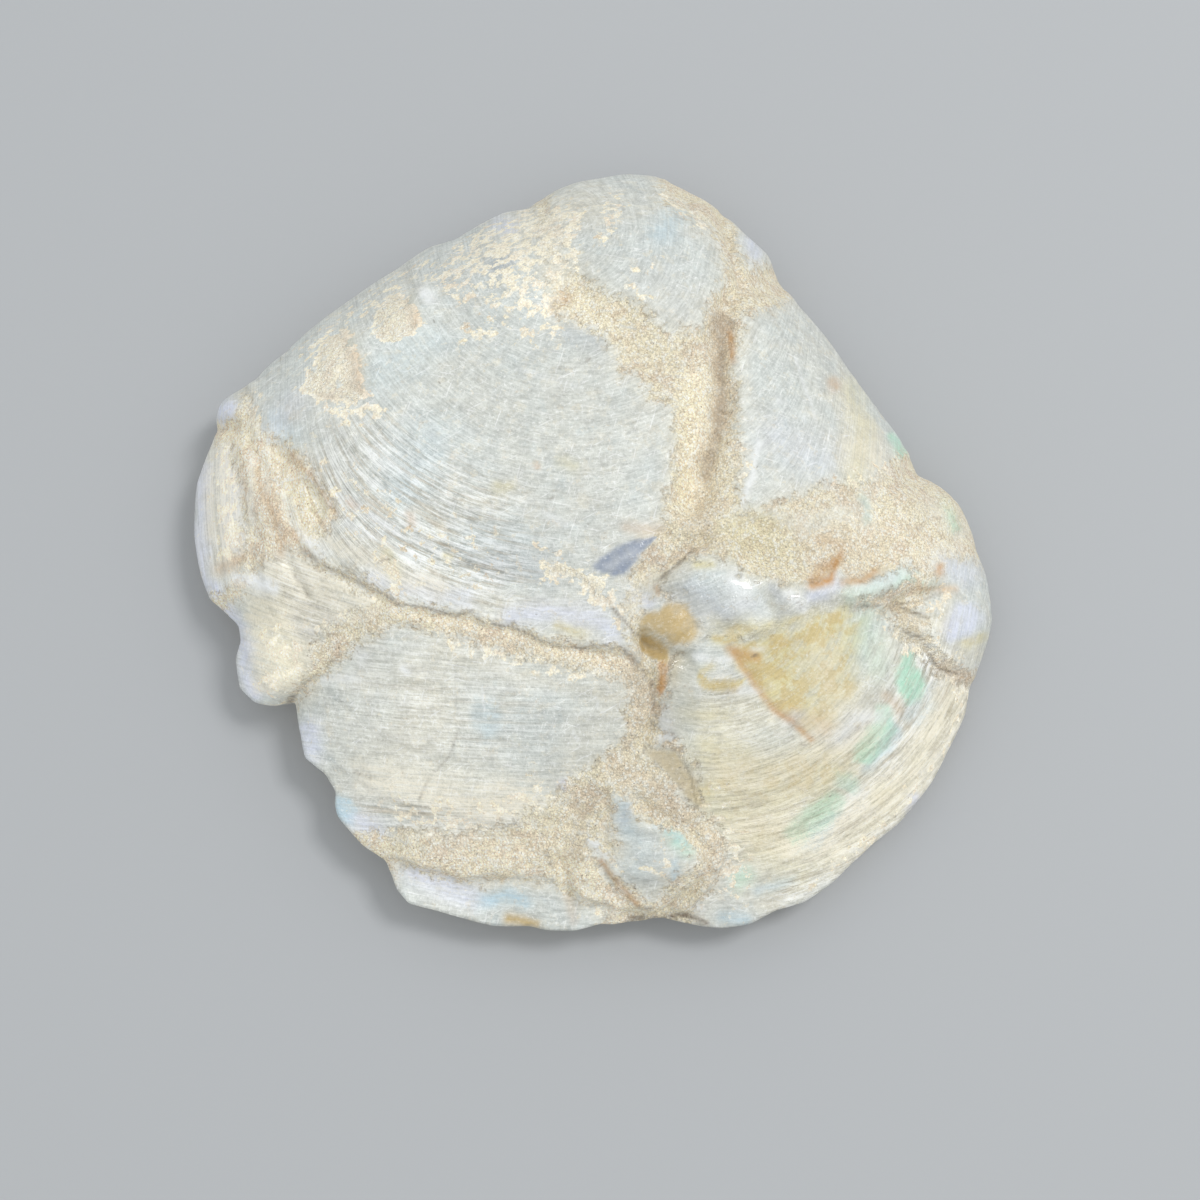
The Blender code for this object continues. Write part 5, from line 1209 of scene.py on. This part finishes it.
def shape_skin(mesh, outline, sizes):
    """Turns the box pattern into the specimen's skin, inside the solid's box, and paints its values."""
    a, b, level = read_points(mesh)
    reach = np.maximum(np.abs(a), np.abs(b))
    wide = np.abs(a) >= np.abs(b)
    slope = np.where(wide, b, a) / np.where(reach > 0, np.where(wide, a, b), 1.0)
    angle = np.where(wide, np.where(a < 0, math.pi, 0.0) + slope * math.pi / 4,
                     np.where(b < 0, -0.5, 0.5) * math.pi - slope * math.pi / 4)
    x, y, z = top_surface(reach, angle, outline, sizes)
    _, even = outline.radii(angle)

    on_side = (level < -0.5) & (reach > 1.0 - 0.5 / TOP_CELLS)
    below = (level < 0.5 - SIDE_RINGS) & ~on_side
    down = np.clip(-level / SIDE_RINGS, 0.0, 1.0)
    side = side_surface(down[on_side], angle[on_side], outline, sizes)
    foot = (even - sizes.undercut / MM) * reach
    under_x, under_y = (foot * np.cos(angle))[below], (foot * np.sin(angle))[below]
    under_z = under_height(under_x, under_y)
    for whole, edge_part, under_part in zip((x, y, z), side, (under_x, under_y, under_z)):
        whole[on_side] = edge_part
        whole[below] = under_part

    u, v = seen_at(x, y, z)
    paint_skin(mesh, u, v, np.where(below, 1.0, np.where(on_side, down, 0.0)))
    fitted = [fit(values, low, high) for values, low, high in zip((x, y, z), *cad_bounds)]
    mesh.vertices.foreach_set("co", np.stack(fitted, axis=1).ravel())
    mesh.update()


def fit(values, low, high):
    """Stretches a column of points a hair, so that it fills the solid's box exactly."""
    return low + (values - values.min()) * (high - low) / (values.max() - values.min())


def paint_skin(mesh, u, v, down):
    """Keeps what the material reads: plate depth, growth lines and every kind of mark."""
    _, depth = relief(u, v)
    hidden = down >= OPAL_ENDS
    depth = np.where(hidden, HIDDEN_DEPTH, np.where(down > 0.0, EDGE_DEPTH, depth))
    give_values(mesh, "plate_depth", depth)
    give_vectors(mesh, "growth", *fine_growth(u, v), down * 6.0)
    for name in MARKS:
        strength = marked(u, v, name)
        give_values(mesh, name, np.where(hidden, 0.0, strength))


class Nodes:
    """Adds shader nodes to one material, each call returning the output to link on."""

    def __init__(self, material):
        self.tree = material.node_tree
        self.coords = self.make("ShaderNodeTexCoord").outputs["Object"]
        in_mm = self.make("ShaderNodeMapping")
        in_mm.inputs["Scale"].default_value = (1 / MM, 1 / MM, 1 / MM)
        self.tree.links.new(self.coords, in_mm.inputs["Vector"])
        self.mm = in_mm.outputs["Vector"]

    def make(self, kind):
        """A new node."""
        return self.tree.nodes.new(kind)

    def put(self, value, socket):
        """Links an output to a socket, or sets the socket to a constant."""
        if isinstance(value, bpy.types.NodeSocket):
            self.tree.links.new(value, socket)
        else:
            socket.default_value = value

    def value(self, name):
        """A number kept on the mesh."""
        node = self.make("ShaderNodeAttribute")
        node.attribute_name = name
        return node.outputs["Fac"]

    def vector(self, name):
        """A vector kept on the mesh."""
        node = self.make("ShaderNodeAttribute")
        node.attribute_name = name
        return node.outputs["Vector"]

    def math(self, operation, a, b=0.0, c=0.0, clamp=False):
        """A sum of two or three numbers, in a wide sense."""
        node = self.make("ShaderNodeMath")
        node.operation = operation
        node.use_clamp = clamp
        for number, socket in zip((a, b, c), node.inputs):
            self.put(number, socket)
        return node.outputs[0]

    def times(self, a, b):
        """One number times another."""
        return self.math("MULTIPLY", a, b)

    def scaled(self, a, factor, base):
        """A number times a factor, on top of a base."""
        return self.math("MULTIPLY_ADD", a, factor, base)

    def plus(self, a, b, clamp=False):
        """The sum of two numbers."""
        return self.math("ADD", a, b, clamp=clamp)

    def less(self, a, b):
        """One number less another."""
        return self.math("SUBTRACT", a, b)

    def larger(self, a, b):
        """The larger of two numbers."""
        return self.math("MAXIMUM", a, b)

    def step(self, value, low, high, out_low=0.0, out_high=1.0):
        """A smooth step of a number between two limits."""
        node = self.make("ShaderNodeMapRange")
        node.interpolation_type = "SMOOTHSTEP"
        limits = {"From Min": low, "From Max": high, "To Min": out_low, "To Max": out_high}
        for name, number in limits.items():
            node.inputs[name].default_value = number
        self.put(value, node.inputs["Value"])
        return node.outputs["Result"]

    def stretch(self, vector, scale):
        """A vector scaled along each of its axes."""
        node = self.make("ShaderNodeMapping")
        node.inputs["Scale"].default_value = scale
        self.put(vector, node.inputs["Vector"])
        return node.outputs["Vector"]

    def laid(self, vector, turn, size):
        """A vector for a texture whose features are turned by an angle and have a size along each axis."""
        node = self.make("ShaderNodeMapping")
        node.vector_type = "TEXTURE"
        node.inputs["Rotation"].default_value = (0.0, 0.0, turn)
        node.inputs["Scale"].default_value = size
        self.put(vector, node.inputs["Vector"])
        return node.outputs["Vector"]

    def cloud(self, vector, scale, detail=2.0, roughness=0.55, distortion=0.0):
        """Noise from 0 to 1, scale lumps to a millimetre."""
        node = self.make("ShaderNodeTexNoise")
        node.inputs["Scale"].default_value = scale
        node.inputs["Detail"].default_value = detail
        node.inputs["Roughness"].default_value = roughness
        node.inputs["Distortion"].default_value = distortion
        self.put(vector, node.inputs["Vector"])
        return node.outputs["Fac"]

    def grains(self, vector, scale):
        """Close-packed grains: the distance from each one's centre, and its own colour."""
        node = self.make("ShaderNodeTexVoronoi")
        node.inputs["Scale"].default_value = scale
        self.put(vector, node.inputs["Vector"])
        return node.outputs["Distance"], node.outputs["Color"]

    def mix(self, share, a, b):
        """One colour laid over another."""
        node = self.make("ShaderNodeMix")
        node.data_type = "RGBA"
        self.put(share, node.inputs["Factor"])
        self.put(a, node.inputs["A"])
        self.put(b, node.inputs["B"])
        return node.outputs["Result"]

    def bright(self, colour, factor):
        """A colour made lighter or darker by a number."""
        node = self.make("ShaderNodeVectorMath")
        node.operation = "SCALE"
        self.put(colour, node.inputs[0])
        self.put(factor, node.inputs["Scale"])
        return node.outputs[0]


def opal_colour(nodes, colours):
    """Milky opal: growth streaks, mottling, flecks, and the tints that the marks lay over it."""
    growth_lines = nodes.vector("growth")
    streaks = nodes.cloud(nodes.stretch(growth_lines, (2.6, 0.22, 1.0)), 1.0, 4.0, 0.68)
    hairs = nodes.cloud(nodes.stretch(growth_lines, (5.5, 0.6, 1.0)), 1.0, 4.0, 0.72)
    mottle = nodes.cloud(nodes.mm, 1.1, 5.0, 0.68)
    flecks = nodes.cloud(nodes.mm, 4.2, 3.0, 0.75)
    wide = nodes.cloud(nodes.mm, 0.2, 2.0)
    tint = nodes.cloud(nodes.mm, 0.7, 5.0, 0.7)
    ribs = nodes.value("ribs")

    colour = nodes.mix(nodes.step(wide, 0.38, 0.62), colours.milky, colours.milky_warm)
    colour = nodes.mix(nodes.step(tint, 0.56, 0.7, 0.0, 0.14), colour, colours.blue)
    colour = nodes.mix(nodes.step(tint, 0.48, 0.34, 0.0, 0.42), colour, colours.beige)
    border = nodes.step(nodes.plus(nodes.value("plate_depth"), mottle), 2.1, 0.6, 0.0, 0.55)
    beige = nodes.times(nodes.value("beige"), nodes.step(streaks, 0.3, 0.6, 0.6, 1.0))
    beige = nodes.larger(beige, nodes.times(border, nodes.step(flecks, 0.3, 0.6, 0.4, 1.0)))
    colour = nodes.mix(beige, colour, colours.beige)
    lines = nodes.times(nodes.step(hairs, 0.5, 0.62), nodes.scaled(ribs, 0.8, 0.22))
    bands = nodes.times(nodes.step(streaks, 0.5, 0.62), nodes.scaled(ribs, 0.8, 0.1))
    white = nodes.larger(lines, bands)
    white = nodes.larger(white, nodes.step(flecks, 0.55, 0.7, 0.0, 0.7))
    for turn in SCRATCH_TURNS:
        scratch = nodes.cloud(nodes.laid(nodes.mm, turn, SCRATCH_SIZE), 1.0, 2.0, 0.6)
        white = nodes.larger(white, nodes.step(scratch, 0.63, 0.72, 0.0, 0.75))
    colour = nodes.mix(white, colour, colours.streak)
    tan_lines = nodes.times(nodes.step(streaks, 0.49, 0.36, 0.0, 0.85), ribs)
    colour = nodes.mix(tan_lines, colour, colours.line)
    darker = nodes.times(nodes.step(hairs, 0.5, 0.34), nodes.scaled(ribs, 0.16, 0.06))
    bands_shade = nodes.cloud(nodes.stretch(growth_lines, (0.75, 0.06, 1.0)), 1.0, 3.0, 0.6)
    shade = nodes.times(nodes.step(mottle, 0.3, 0.7, 0.88, 1.1), nodes.step(flecks, 0.32, 0.48, 0.92, 1.0))
    banding = nodes.times(nodes.step(bands_shade, 0.36, 0.64, -0.5, 0.5),
                         nodes.scaled(ribs, 0.16, 0.05))
    shade = nodes.times(shade, nodes.plus(banding, 1.0))
    colour = nodes.bright(colour, nodes.less(shade, darker))

    lit = nodes.times(nodes.step(streaks, 0.3, 0.6, 0.5, 1.0), nodes.step(mottle, 0.3, 0.6, 0.65, 1.0))
    for name in ("blue", "lavender", "yellow", "green"):
        colour = nodes.mix(nodes.times(nodes.value(name), lit), colour, getattr(colours, name))
    ochre = nodes.times(nodes.step(nodes.value("yellow"), 0.35, 0.9), nodes.step(tint, 0.47, 0.57))
    colour = nodes.mix(nodes.times(ochre, 0.6), colour, colours.ochre)
    for name in ("smoke_and_shade", "amber", "slate"):
        share = nodes.times(nodes.value(name), nodes.step(mottle, 0.3, 0.6, 0.7, 1.0))
        colour = nodes.mix(share, colour, getattr(colours, name))
    fine = nodes.step(flecks, 0.34, 0.62, 0.96, 1.03)
    fine = nodes.times(fine, nodes.step(hairs, 0.34, 0.62, 0.94, 1.05))
    lined = nodes.times(nodes.step(streaks, 0.4, 0.62, -0.07, 0.1), ribs)
    colour = nodes.bright(colour, nodes.plus(fine, lined))
    veil = nodes.times(nodes.value("veil"), nodes.step(streaks, 0.36, 0.58, 0.2, 1.0))
    veil = nodes.times(veil, nodes.step(flecks, 0.35, 0.6, 0.5, 1.0))
    colour = nodes.mix(veil, colour, colours.veil)
    # chalk white flaws, and the painted highlights on the clear lump
    chalk_and_painted_highlight = nodes.times(nodes.value("white"), nodes.step(mottle, 0.34, 0.56, 0.6, 1.0))
    colour = nodes.mix(chalk_and_painted_highlight, colour, colours.white)
    colour = nodes.mix(nodes.step(flecks, 0.58, 0.72, 0.0, 0.4), colour, colours.streak)

    far, own = nodes.grains(nodes.stretch(growth_lines, (1.5, 0.75, 1.0)), 1.0)
    pick = nodes.step(nodes.times(own, 1.0), 0.84, 0.86)
    speck = nodes.times(nodes.step(far, 0.13, 0.05), pick)
    return nodes.mix(nodes.times(speck, 0.6), colour, colours.speck), hairs, mottle, flecks


def matrix_colour(nodes, colours):
    """Fine sandy matrix: close-packed pale and tan grains, in creamier and browner drifts, with painted
    shade between the grains.
    """
    far, own = nodes.grains(nodes.mm, 6.2)
    small_far, small_own = nodes.grains(nodes.mm, 10.5)
    drift = nodes.cloud(nodes.mm, 0.6, 5.0, 0.65)
    blotch = nodes.cloud(nodes.mm, 1.7, 5.0, 0.72)
    grain = nodes.times(own, 1.0)
    small = nodes.times(small_own, 1.0)
    wide = nodes.cloud(nodes.mm, 0.22, 3.0, 0.6)
    # pinker drifts and marks, which in the valley and on the sand flakes' edges are partly painted shade
    warm_and_shade = nodes.larger(nodes.step(drift, 0.44, 0.62), nodes.value("warm_and_shade"))
    warm_and_shade = nodes.times(warm_and_shade, nodes.step(wide, 0.34, 0.6, 0.5, 1.0))
    colour = nodes.mix(warm_and_shade, colours.sand, colours.sand_warm)
    lemon = nodes.times(nodes.value("yellow"), nodes.step(drift, 0.3, 0.6, 0.4, 0.8))
    colour = nodes.mix(lemon, colour, colours.lemon)
    colour = nodes.mix(nodes.step(blotch, 0.53, 0.66, 0.0, 0.85), colour, colours.quartz)
    colour = nodes.mix(nodes.step(blotch, 0.47, 0.33, 0.0, 0.65), colour, colours.brown_grain)
    colour = nodes.bright(colour, nodes.step(small, 0.1, 0.9, 0.86, 1.16))
    colour = nodes.mix(nodes.step(grain, 0.6, 0.8, 0.0, 0.8), colour, colours.quartz)
    colour = nodes.mix(nodes.step(grain, 0.24, 0.12, 0.0, 0.55), colour, colours.brown_grain)
    colour = nodes.mix(nodes.step(small, 0.09, 0.05, 0.0, 0.6), colour, colours.dark_grain)
    # browner sand, and painted shade in the valley beside the vertical seam and on the edges of the sand
    # flakes
    smoke_and_shade = nodes.times(nodes.value("smoke_and_shade"), nodes.step(drift, 0.3, 0.6, 0.6, 1.0))
    colour = nodes.mix(smoke_and_shade, colour, colours.brown_grain)
    streaks = nodes.cloud(nodes.stretch(nodes.vector("growth"), (2.8, 0.26, 1.0)), 1.0, 4.0, 0.65)
    ribs = nodes.value("ribs")
    colour = nodes.mix(nodes.times(nodes.step(streaks, 0.5, 0.36, 0.0, 0.7), ribs), colour,
                       colours.brown_grain)
    colour = nodes.mix(nodes.times(nodes.step(streaks, 0.52, 0.64, 0.0, 0.8), ribs), colour,
                       colours.quartz)
    # painted shade: each grain is lighter at its middle and darker towards its edges
    return nodes.bright(colour, nodes.step(far, 0.24, 0.72, 1.1, 0.88)), far, small_far, small, blotch


def specimen_material(opal, matrix):
    """Opal and matrix as one finish, told apart by how deep inside a plate each point is."""
    material = bpy.data.materials.new("opal_and_matrix")
    material.use_nodes = True
    shader = material.node_tree.nodes["Principled BSDF"]
    nodes = Nodes(material)
    opal_base, hairs, mottle, flecks = opal_colour(nodes, opal)
    sand_base, grain_far, small_far, small, blotch = matrix_colour(nodes, matrix)

    ragged = nodes.cloud(nodes.mm, 1.5, 6.0, 0.7)
    jitter = nodes.plus(nodes.step(ragged, 0.3, 0.7, -0.6, 0.6), nodes.times(small, 0.2))
    bare = nodes.step(nodes.plus(nodes.value("plate_depth"), jitter), 0.7, -0.2)
    patches = nodes.step(nodes.cloud(nodes.mm, 1.3, 4.0, 0.62), 0.34, 0.66)
    patches = nodes.plus(patches, nodes.times(small, 0.12))
    covered = nodes.step(nodes.less(nodes.value("film"), patches), -0.14, 0.12)
    smooth_opal = nodes.larger(nodes.value("amber"), nodes.value("clear"))
    smooth_opal = nodes.larger(smooth_opal, nodes.value("slate"))
    bare = nodes.times(bare, nodes.step(smooth_opal, 0.3, 0.6, 1.0, 0.0))
    window = nodes.times(nodes.value("window"), nodes.step(ragged, 0.36, 0.56, 0.5, 1.0))
    bare = nodes.times(bare, nodes.less(1.0, window))
    sandy = nodes.larger(bare, covered)

    flakes = nodes.times(nodes.step(nodes.value("film"), 0.1, 0.5, 0.0, 0.3), covered)
    sand_base = nodes.mix(flakes, sand_base, matrix.quartz)
    colour = nodes.mix(sandy, opal_base, sand_base)
    # painted light: the bright marks lighten the colour where the lamp leaves the surface darker
    colour = nodes.bright(colour, nodes.scaled(nodes.value("bright"), PAINTED_LIGHT_GAIN, 1.0))
    rust = nodes.times(nodes.value("rust"), nodes.step(mottle, 0.32, 0.68, 0.5, 1.0))
    colour = nodes.mix(rust, colour, matrix.rust)
    # dirt, and painted shade, in the cracks, hollows and gaps
    dirt_and_shade = nodes.times(nodes.value("dirt_and_shade"), nodes.step(ragged, 0.36, 0.6, 0.3, 1.0))
    colour = nodes.mix(dirt_and_shade, colour, matrix.dirt_and_shade)
    nodes.put(colour, shader.inputs["Base Color"])

    clear = nodes.times(nodes.value("clear"), nodes.step(sandy, 0.0, 1.0, 1.0, 0.0))
    rough = nodes.less(nodes.step(mottle, 0.3, 0.7, 0.32, 0.5), nodes.times(clear, 0.3))
    rough = nodes.plus(rough, nodes.times(sandy, 0.45), clamp=True)
    nodes.put(rough, shader.inputs["Roughness"])
    nodes.put(nodes.times(clear, 0.9), shader.inputs["Coat Weight"])
    shader.inputs["Coat Roughness"].default_value = 0.06
    shader.inputs["IOR"].default_value = 1.45

    grain_bumps = nodes.plus(grain_far, nodes.times(small_far, 0.5))
    sand_bumps = nodes.times(grain_bumps, -0.07)
    sand_bumps = nodes.plus(sand_bumps, nodes.times(ragged, 0.24))
    sand_bumps = nodes.plus(sand_bumps, nodes.scaled(blotch, 0.26, -0.17))
    opal_bumps = nodes.times(hairs, nodes.scaled(nodes.value("ribs"), 0.1, 0.03))
    opal_bumps = nodes.plus(opal_bumps, nodes.times(flecks, 0.07))
    wrinkles = nodes.cloud(nodes.mm, 1.7, 3.0, 0.6)
    opal_bumps = nodes.plus(opal_bumps, nodes.times(wrinkles, nodes.times(clear, 0.22)))
    thick = nodes.times(covered, nodes.step(nodes.value("film"), 0.55, 0.95))
    grainy = nodes.larger(bare, thick)
    height = nodes.plus(nodes.times(grainy, sand_bumps),
                        nodes.times(nodes.less(1.0, grainy), opal_bumps))
    bump = nodes.make("ShaderNodeBump")
    bump.inputs["Strength"].default_value = 1.0
    bump.inputs["Distance"].default_value = MM
    nodes.put(height, bump.inputs["Height"])
    nodes.put(bump.outputs["Normal"], shader.inputs["Normal"])
    return material


def plain_material(name, colour, roughness):
    """A plain finish for the stage."""
    material = bpy.data.materials.new(name)
    material.use_nodes = True
    shader = material.node_tree.nodes["Principled BSDF"]
    shader.inputs["Base Color"].default_value = colour
    shader.inputs["Roughness"].default_value = roughness
    return material


def colour_property(name, description, default):
    """A colour that a user may change."""
    return bpy.props.FloatVectorProperty(
        name=name, description=description, subtype="COLOR", size=4, min=0.0, max=1.0,
        default=(*default, 1.0),
    )


class SpecimenSizes(bpy.types.PropertyGroup):
    """Sizes of the valve."""

    height: bpy.props.FloatProperty(
        name="Height", description="Height of the specimen above the floor", default=0.017, unit="LENGTH")
    rim_height: bpy.props.FloatProperty(
        name="Rim height", description="Height of the valve's edge above the floor", default=0.0033,
        unit="LENGTH")
    edge_thickness: bpy.props.FloatProperty(
        name="Edge thickness", description="Thickness of the opal at the margin", default=0.0015,
        unit="LENGTH")
    undercut: bpy.props.FloatProperty(
        name="Undercut", description="How far the matrix below stands back from the margin",
        default=0.0036, unit="LENGTH")


class OpalColours(bpy.types.PropertyGroup):
    """Colours of the opal."""

    milky: colour_property("Milky", "Body of the opal", (0.63, 0.657, 0.618))
    milky_warm: colour_property("Warm milky", "Body of the opal where it is warmer", (0.655, 0.662, 0.602))
    streak: colour_property("Streak", "Chalky growth streaks", (0.90, 0.90, 0.87))
    veil: colour_property("Veil", "Thin sandy film along the growth lines", (0.88, 0.80, 0.63))
    green: colour_property("Green fire", "Green play of colour", (0.42, 0.74, 0.55))
    blue: colour_property("Blue fire", "Blue play of colour", (0.51, 0.67, 0.75))
    lavender: colour_property("Lavender", "Pale violet opal", (0.72, 0.75, 0.88))
    line: colour_property("Growth line", "Tan growth lines", (0.62, 0.55, 0.43))
    beige: colour_property("Beige", "Opal with a warm film", (0.78, 0.73, 0.59))
    yellow: colour_property("Yellow", "Yellow-stained opal", (0.73, 0.645, 0.34))
    ochre: colour_property("Ochre", "Darker stains in the yellow", (0.62, 0.46, 0.18))
    amber: colour_property("Amber", "See-through brown opal", (0.56, 0.40, 0.16))
    # the same marks also paint shade in the sand of the valley and of the sand flakes' edges
    smoke_and_shade: colour_property("Smoke", "Smoky clear opal", (0.50, 0.48, 0.38))
    slate: colour_property("Slate", "Dark blue-grey opal", (0.28, 0.32, 0.40))
    # also the colour of the painted highlights on the clear lump
    white: colour_property("White", "Chalk white flaws and scuffs", (0.90, 0.91, 0.90))
    speck: colour_property("Speck", "Small dark specks", (0.22, 0.20, 0.17))


class MatrixColours(bpy.types.PropertyGroup):
    """Colours of the sandy matrix."""

    sand: colour_property("Sand", "Body of the matrix", (0.94, 0.85, 0.63))
    sand_warm: colour_property("Warm sand", "Body of the matrix where it is pinker", (0.80, 0.67, 0.51))
    quartz: colour_property("Quartz", "Pale grains", (0.96, 0.93, 0.82))
    brown_grain: colour_property("Brown grain", "Tan grains", (0.62, 0.50, 0.36))
    dark_grain: colour_property("Dark grain", "Few dark grains", (0.24, 0.19, 0.14))
    lemon: colour_property("Lemon sand", "Yellow-stained matrix", (0.84, 0.77, 0.50))
    rust: colour_property("Rust", "Iron stain", (0.60, 0.31, 0.10))
    # dirt in the cracks, and painted shade in hollows, gaps and under the overhang
    dirt_and_shade: colour_property("Dirt", "Dark dirt in the cracks", (0.20, 0.15, 0.11))


class StageSettings(bpy.types.PropertyGroup):
    """Floor and light."""

    floor: colour_property("Floor", "Pale floor", (0.47, 0.48, 0.49))
    key_power: bpy.props.FloatProperty(
        name="Key light", description="Power of the light from the upper right", default=0.95,
        unit="POWER")
    fill: bpy.props.FloatProperty(
        name="Fill", description="Strength of the even light from all round", default=0.78, min=0.0)


class OPAL_OT_specimen(bpy.types.Operator):
    """Build the cemented valve, with its plates, matrix and edge as one closed skin"""

    bl_idname = "opal.specimen"
    bl_label = "Build specimen"

    def execute(self, context):
        scene = context.scene
        mesh = skin_pattern("cemented_valve")
        shape_skin(mesh, Outline(scene.opal_sizes), scene.opal_sizes)
        mesh.shade_smooth()
        mesh.materials.append(specimen_material(scene.opal_colours, scene.matrix_colours))
        valve = bpy.data.objects.new("cemented_valve", mesh)
        scene.collection.objects.link(valve)
        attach(valve, "root")
        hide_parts(NODE)
        return {"FINISHED"}


class OPAL_OT_stage(bpy.types.Operator):
    """Build the pale floor, the soft lights and the camera"""

    bl_idname = "opal.stage"
    bl_label = "Build stage"

    def execute(self, context):
        scene = context.scene
        settings = scene.opal_stage
        bm = bmesh.new()
        bmesh.ops.create_grid(bm, x_segments=1, y_segments=1, size=FLOOR_HALF)
        mesh = bpy.data.meshes.new("floor")
        bm.to_mesh(mesh)
        bm.free()
        mesh.materials.append(plain_material("pale_floor", tuple(settings.floor), 0.9))
        floor = bpy.data.objects.new("floor", mesh)
        scene.collection.objects.link(floor)

        add_light(scene, "key", LIGHT_PLACE, LIGHT_SIZE, settings.key_power)
        world = bpy.data.worlds.new("soft_room")
        world.use_nodes = True
        background = world.node_tree.nodes["Background"]
        background.inputs["Color"].default_value = ROOM_COLOUR
        background.inputs["Strength"].default_value = settings.fill
        scene.world = world
        scene.view_settings.view_transform = "Standard"
        add_camera(scene)
        return {"FINISHED"}


def add_light(scene, name, place, size, power):
    """A square soft light that faces the middle of the specimen."""
    light = bpy.data.lights.new(name, "AREA")
    light.size = size
    light.energy = power
    lamp = bpy.data.objects.new(name, light)
    lamp.location = place
    lamp.rotation_euler = (-lamp.location).to_track_quat("-Z", "Y").to_euler()
    scene.collection.objects.link(lamp)


def add_camera(scene):
    """The camera stands where the landmarks were read from."""
    across, upward = Outline(scene.opal_sizes).middle()
    camera = bpy.data.cameras.new("camera")
    camera.angle = EYE_ANGLE
    camera.clip_start = 0.01
    eye = bpy.data.objects.new("camera", camera)
    eye.location = ((EYE[0] - across) * MM, (EYE[1] - upward) * MM, EYE[2] * MM)
    eye.rotation_euler = (math.pi / 2 - EYE_ELEVATION, 0.0, 0.0)
    scene.collection.objects.link(eye)
    scene.camera = eye


class OPAL_PT_sidebar(bpy.types.Panel):
    """Lists the operators and their settings"""

    bl_idname = "OPAL_PT_sidebar"
    bl_label = "Rough opal specimen"
    bl_space_type = "VIEW_3D"
    bl_region_type = "UI"
    bl_category = "Opal"

    def draw(self, context):
        scene = context.scene
        for group in (scene.opal_sizes, scene.opal_colours, scene.matrix_colours, scene.opal_stage):
            box = self.layout.box()
            for name in group.__annotations__:
                box.prop(group, name)
        self.layout.operator("opal.specimen")
        self.layout.operator("opal.stage")


GROUPS = {
    "opal_sizes": SpecimenSizes,
    "opal_colours": OpalColours,
    "matrix_colours": MatrixColours,
    "opal_stage": StageSettings,
}
CLASSES = (*GROUPS.values(), OPAL_OT_specimen, OPAL_OT_stage, OPAL_PT_sidebar)


def register():
    """Makes the settings, operators and panel known to Blender."""
    for item in CLASSES:
        bpy.utils.register_class(item)
    for name, group in GROUPS.items():
        setattr(bpy.types.Scene, name, bpy.props.PointerProperty(type=group))


def unregister():
    """Takes them away again."""
    for name in GROUPS:
        delattr(bpy.types.Scene, name)
    for item in reversed(CLASSES):
        bpy.utils.unregister_class(item)


def main():
    """Builds the specimen and its stage."""
    register()
    bpy.ops.opal.specimen()
    bpy.ops.opal.stage()


if __name__ == "__main__":
    main()
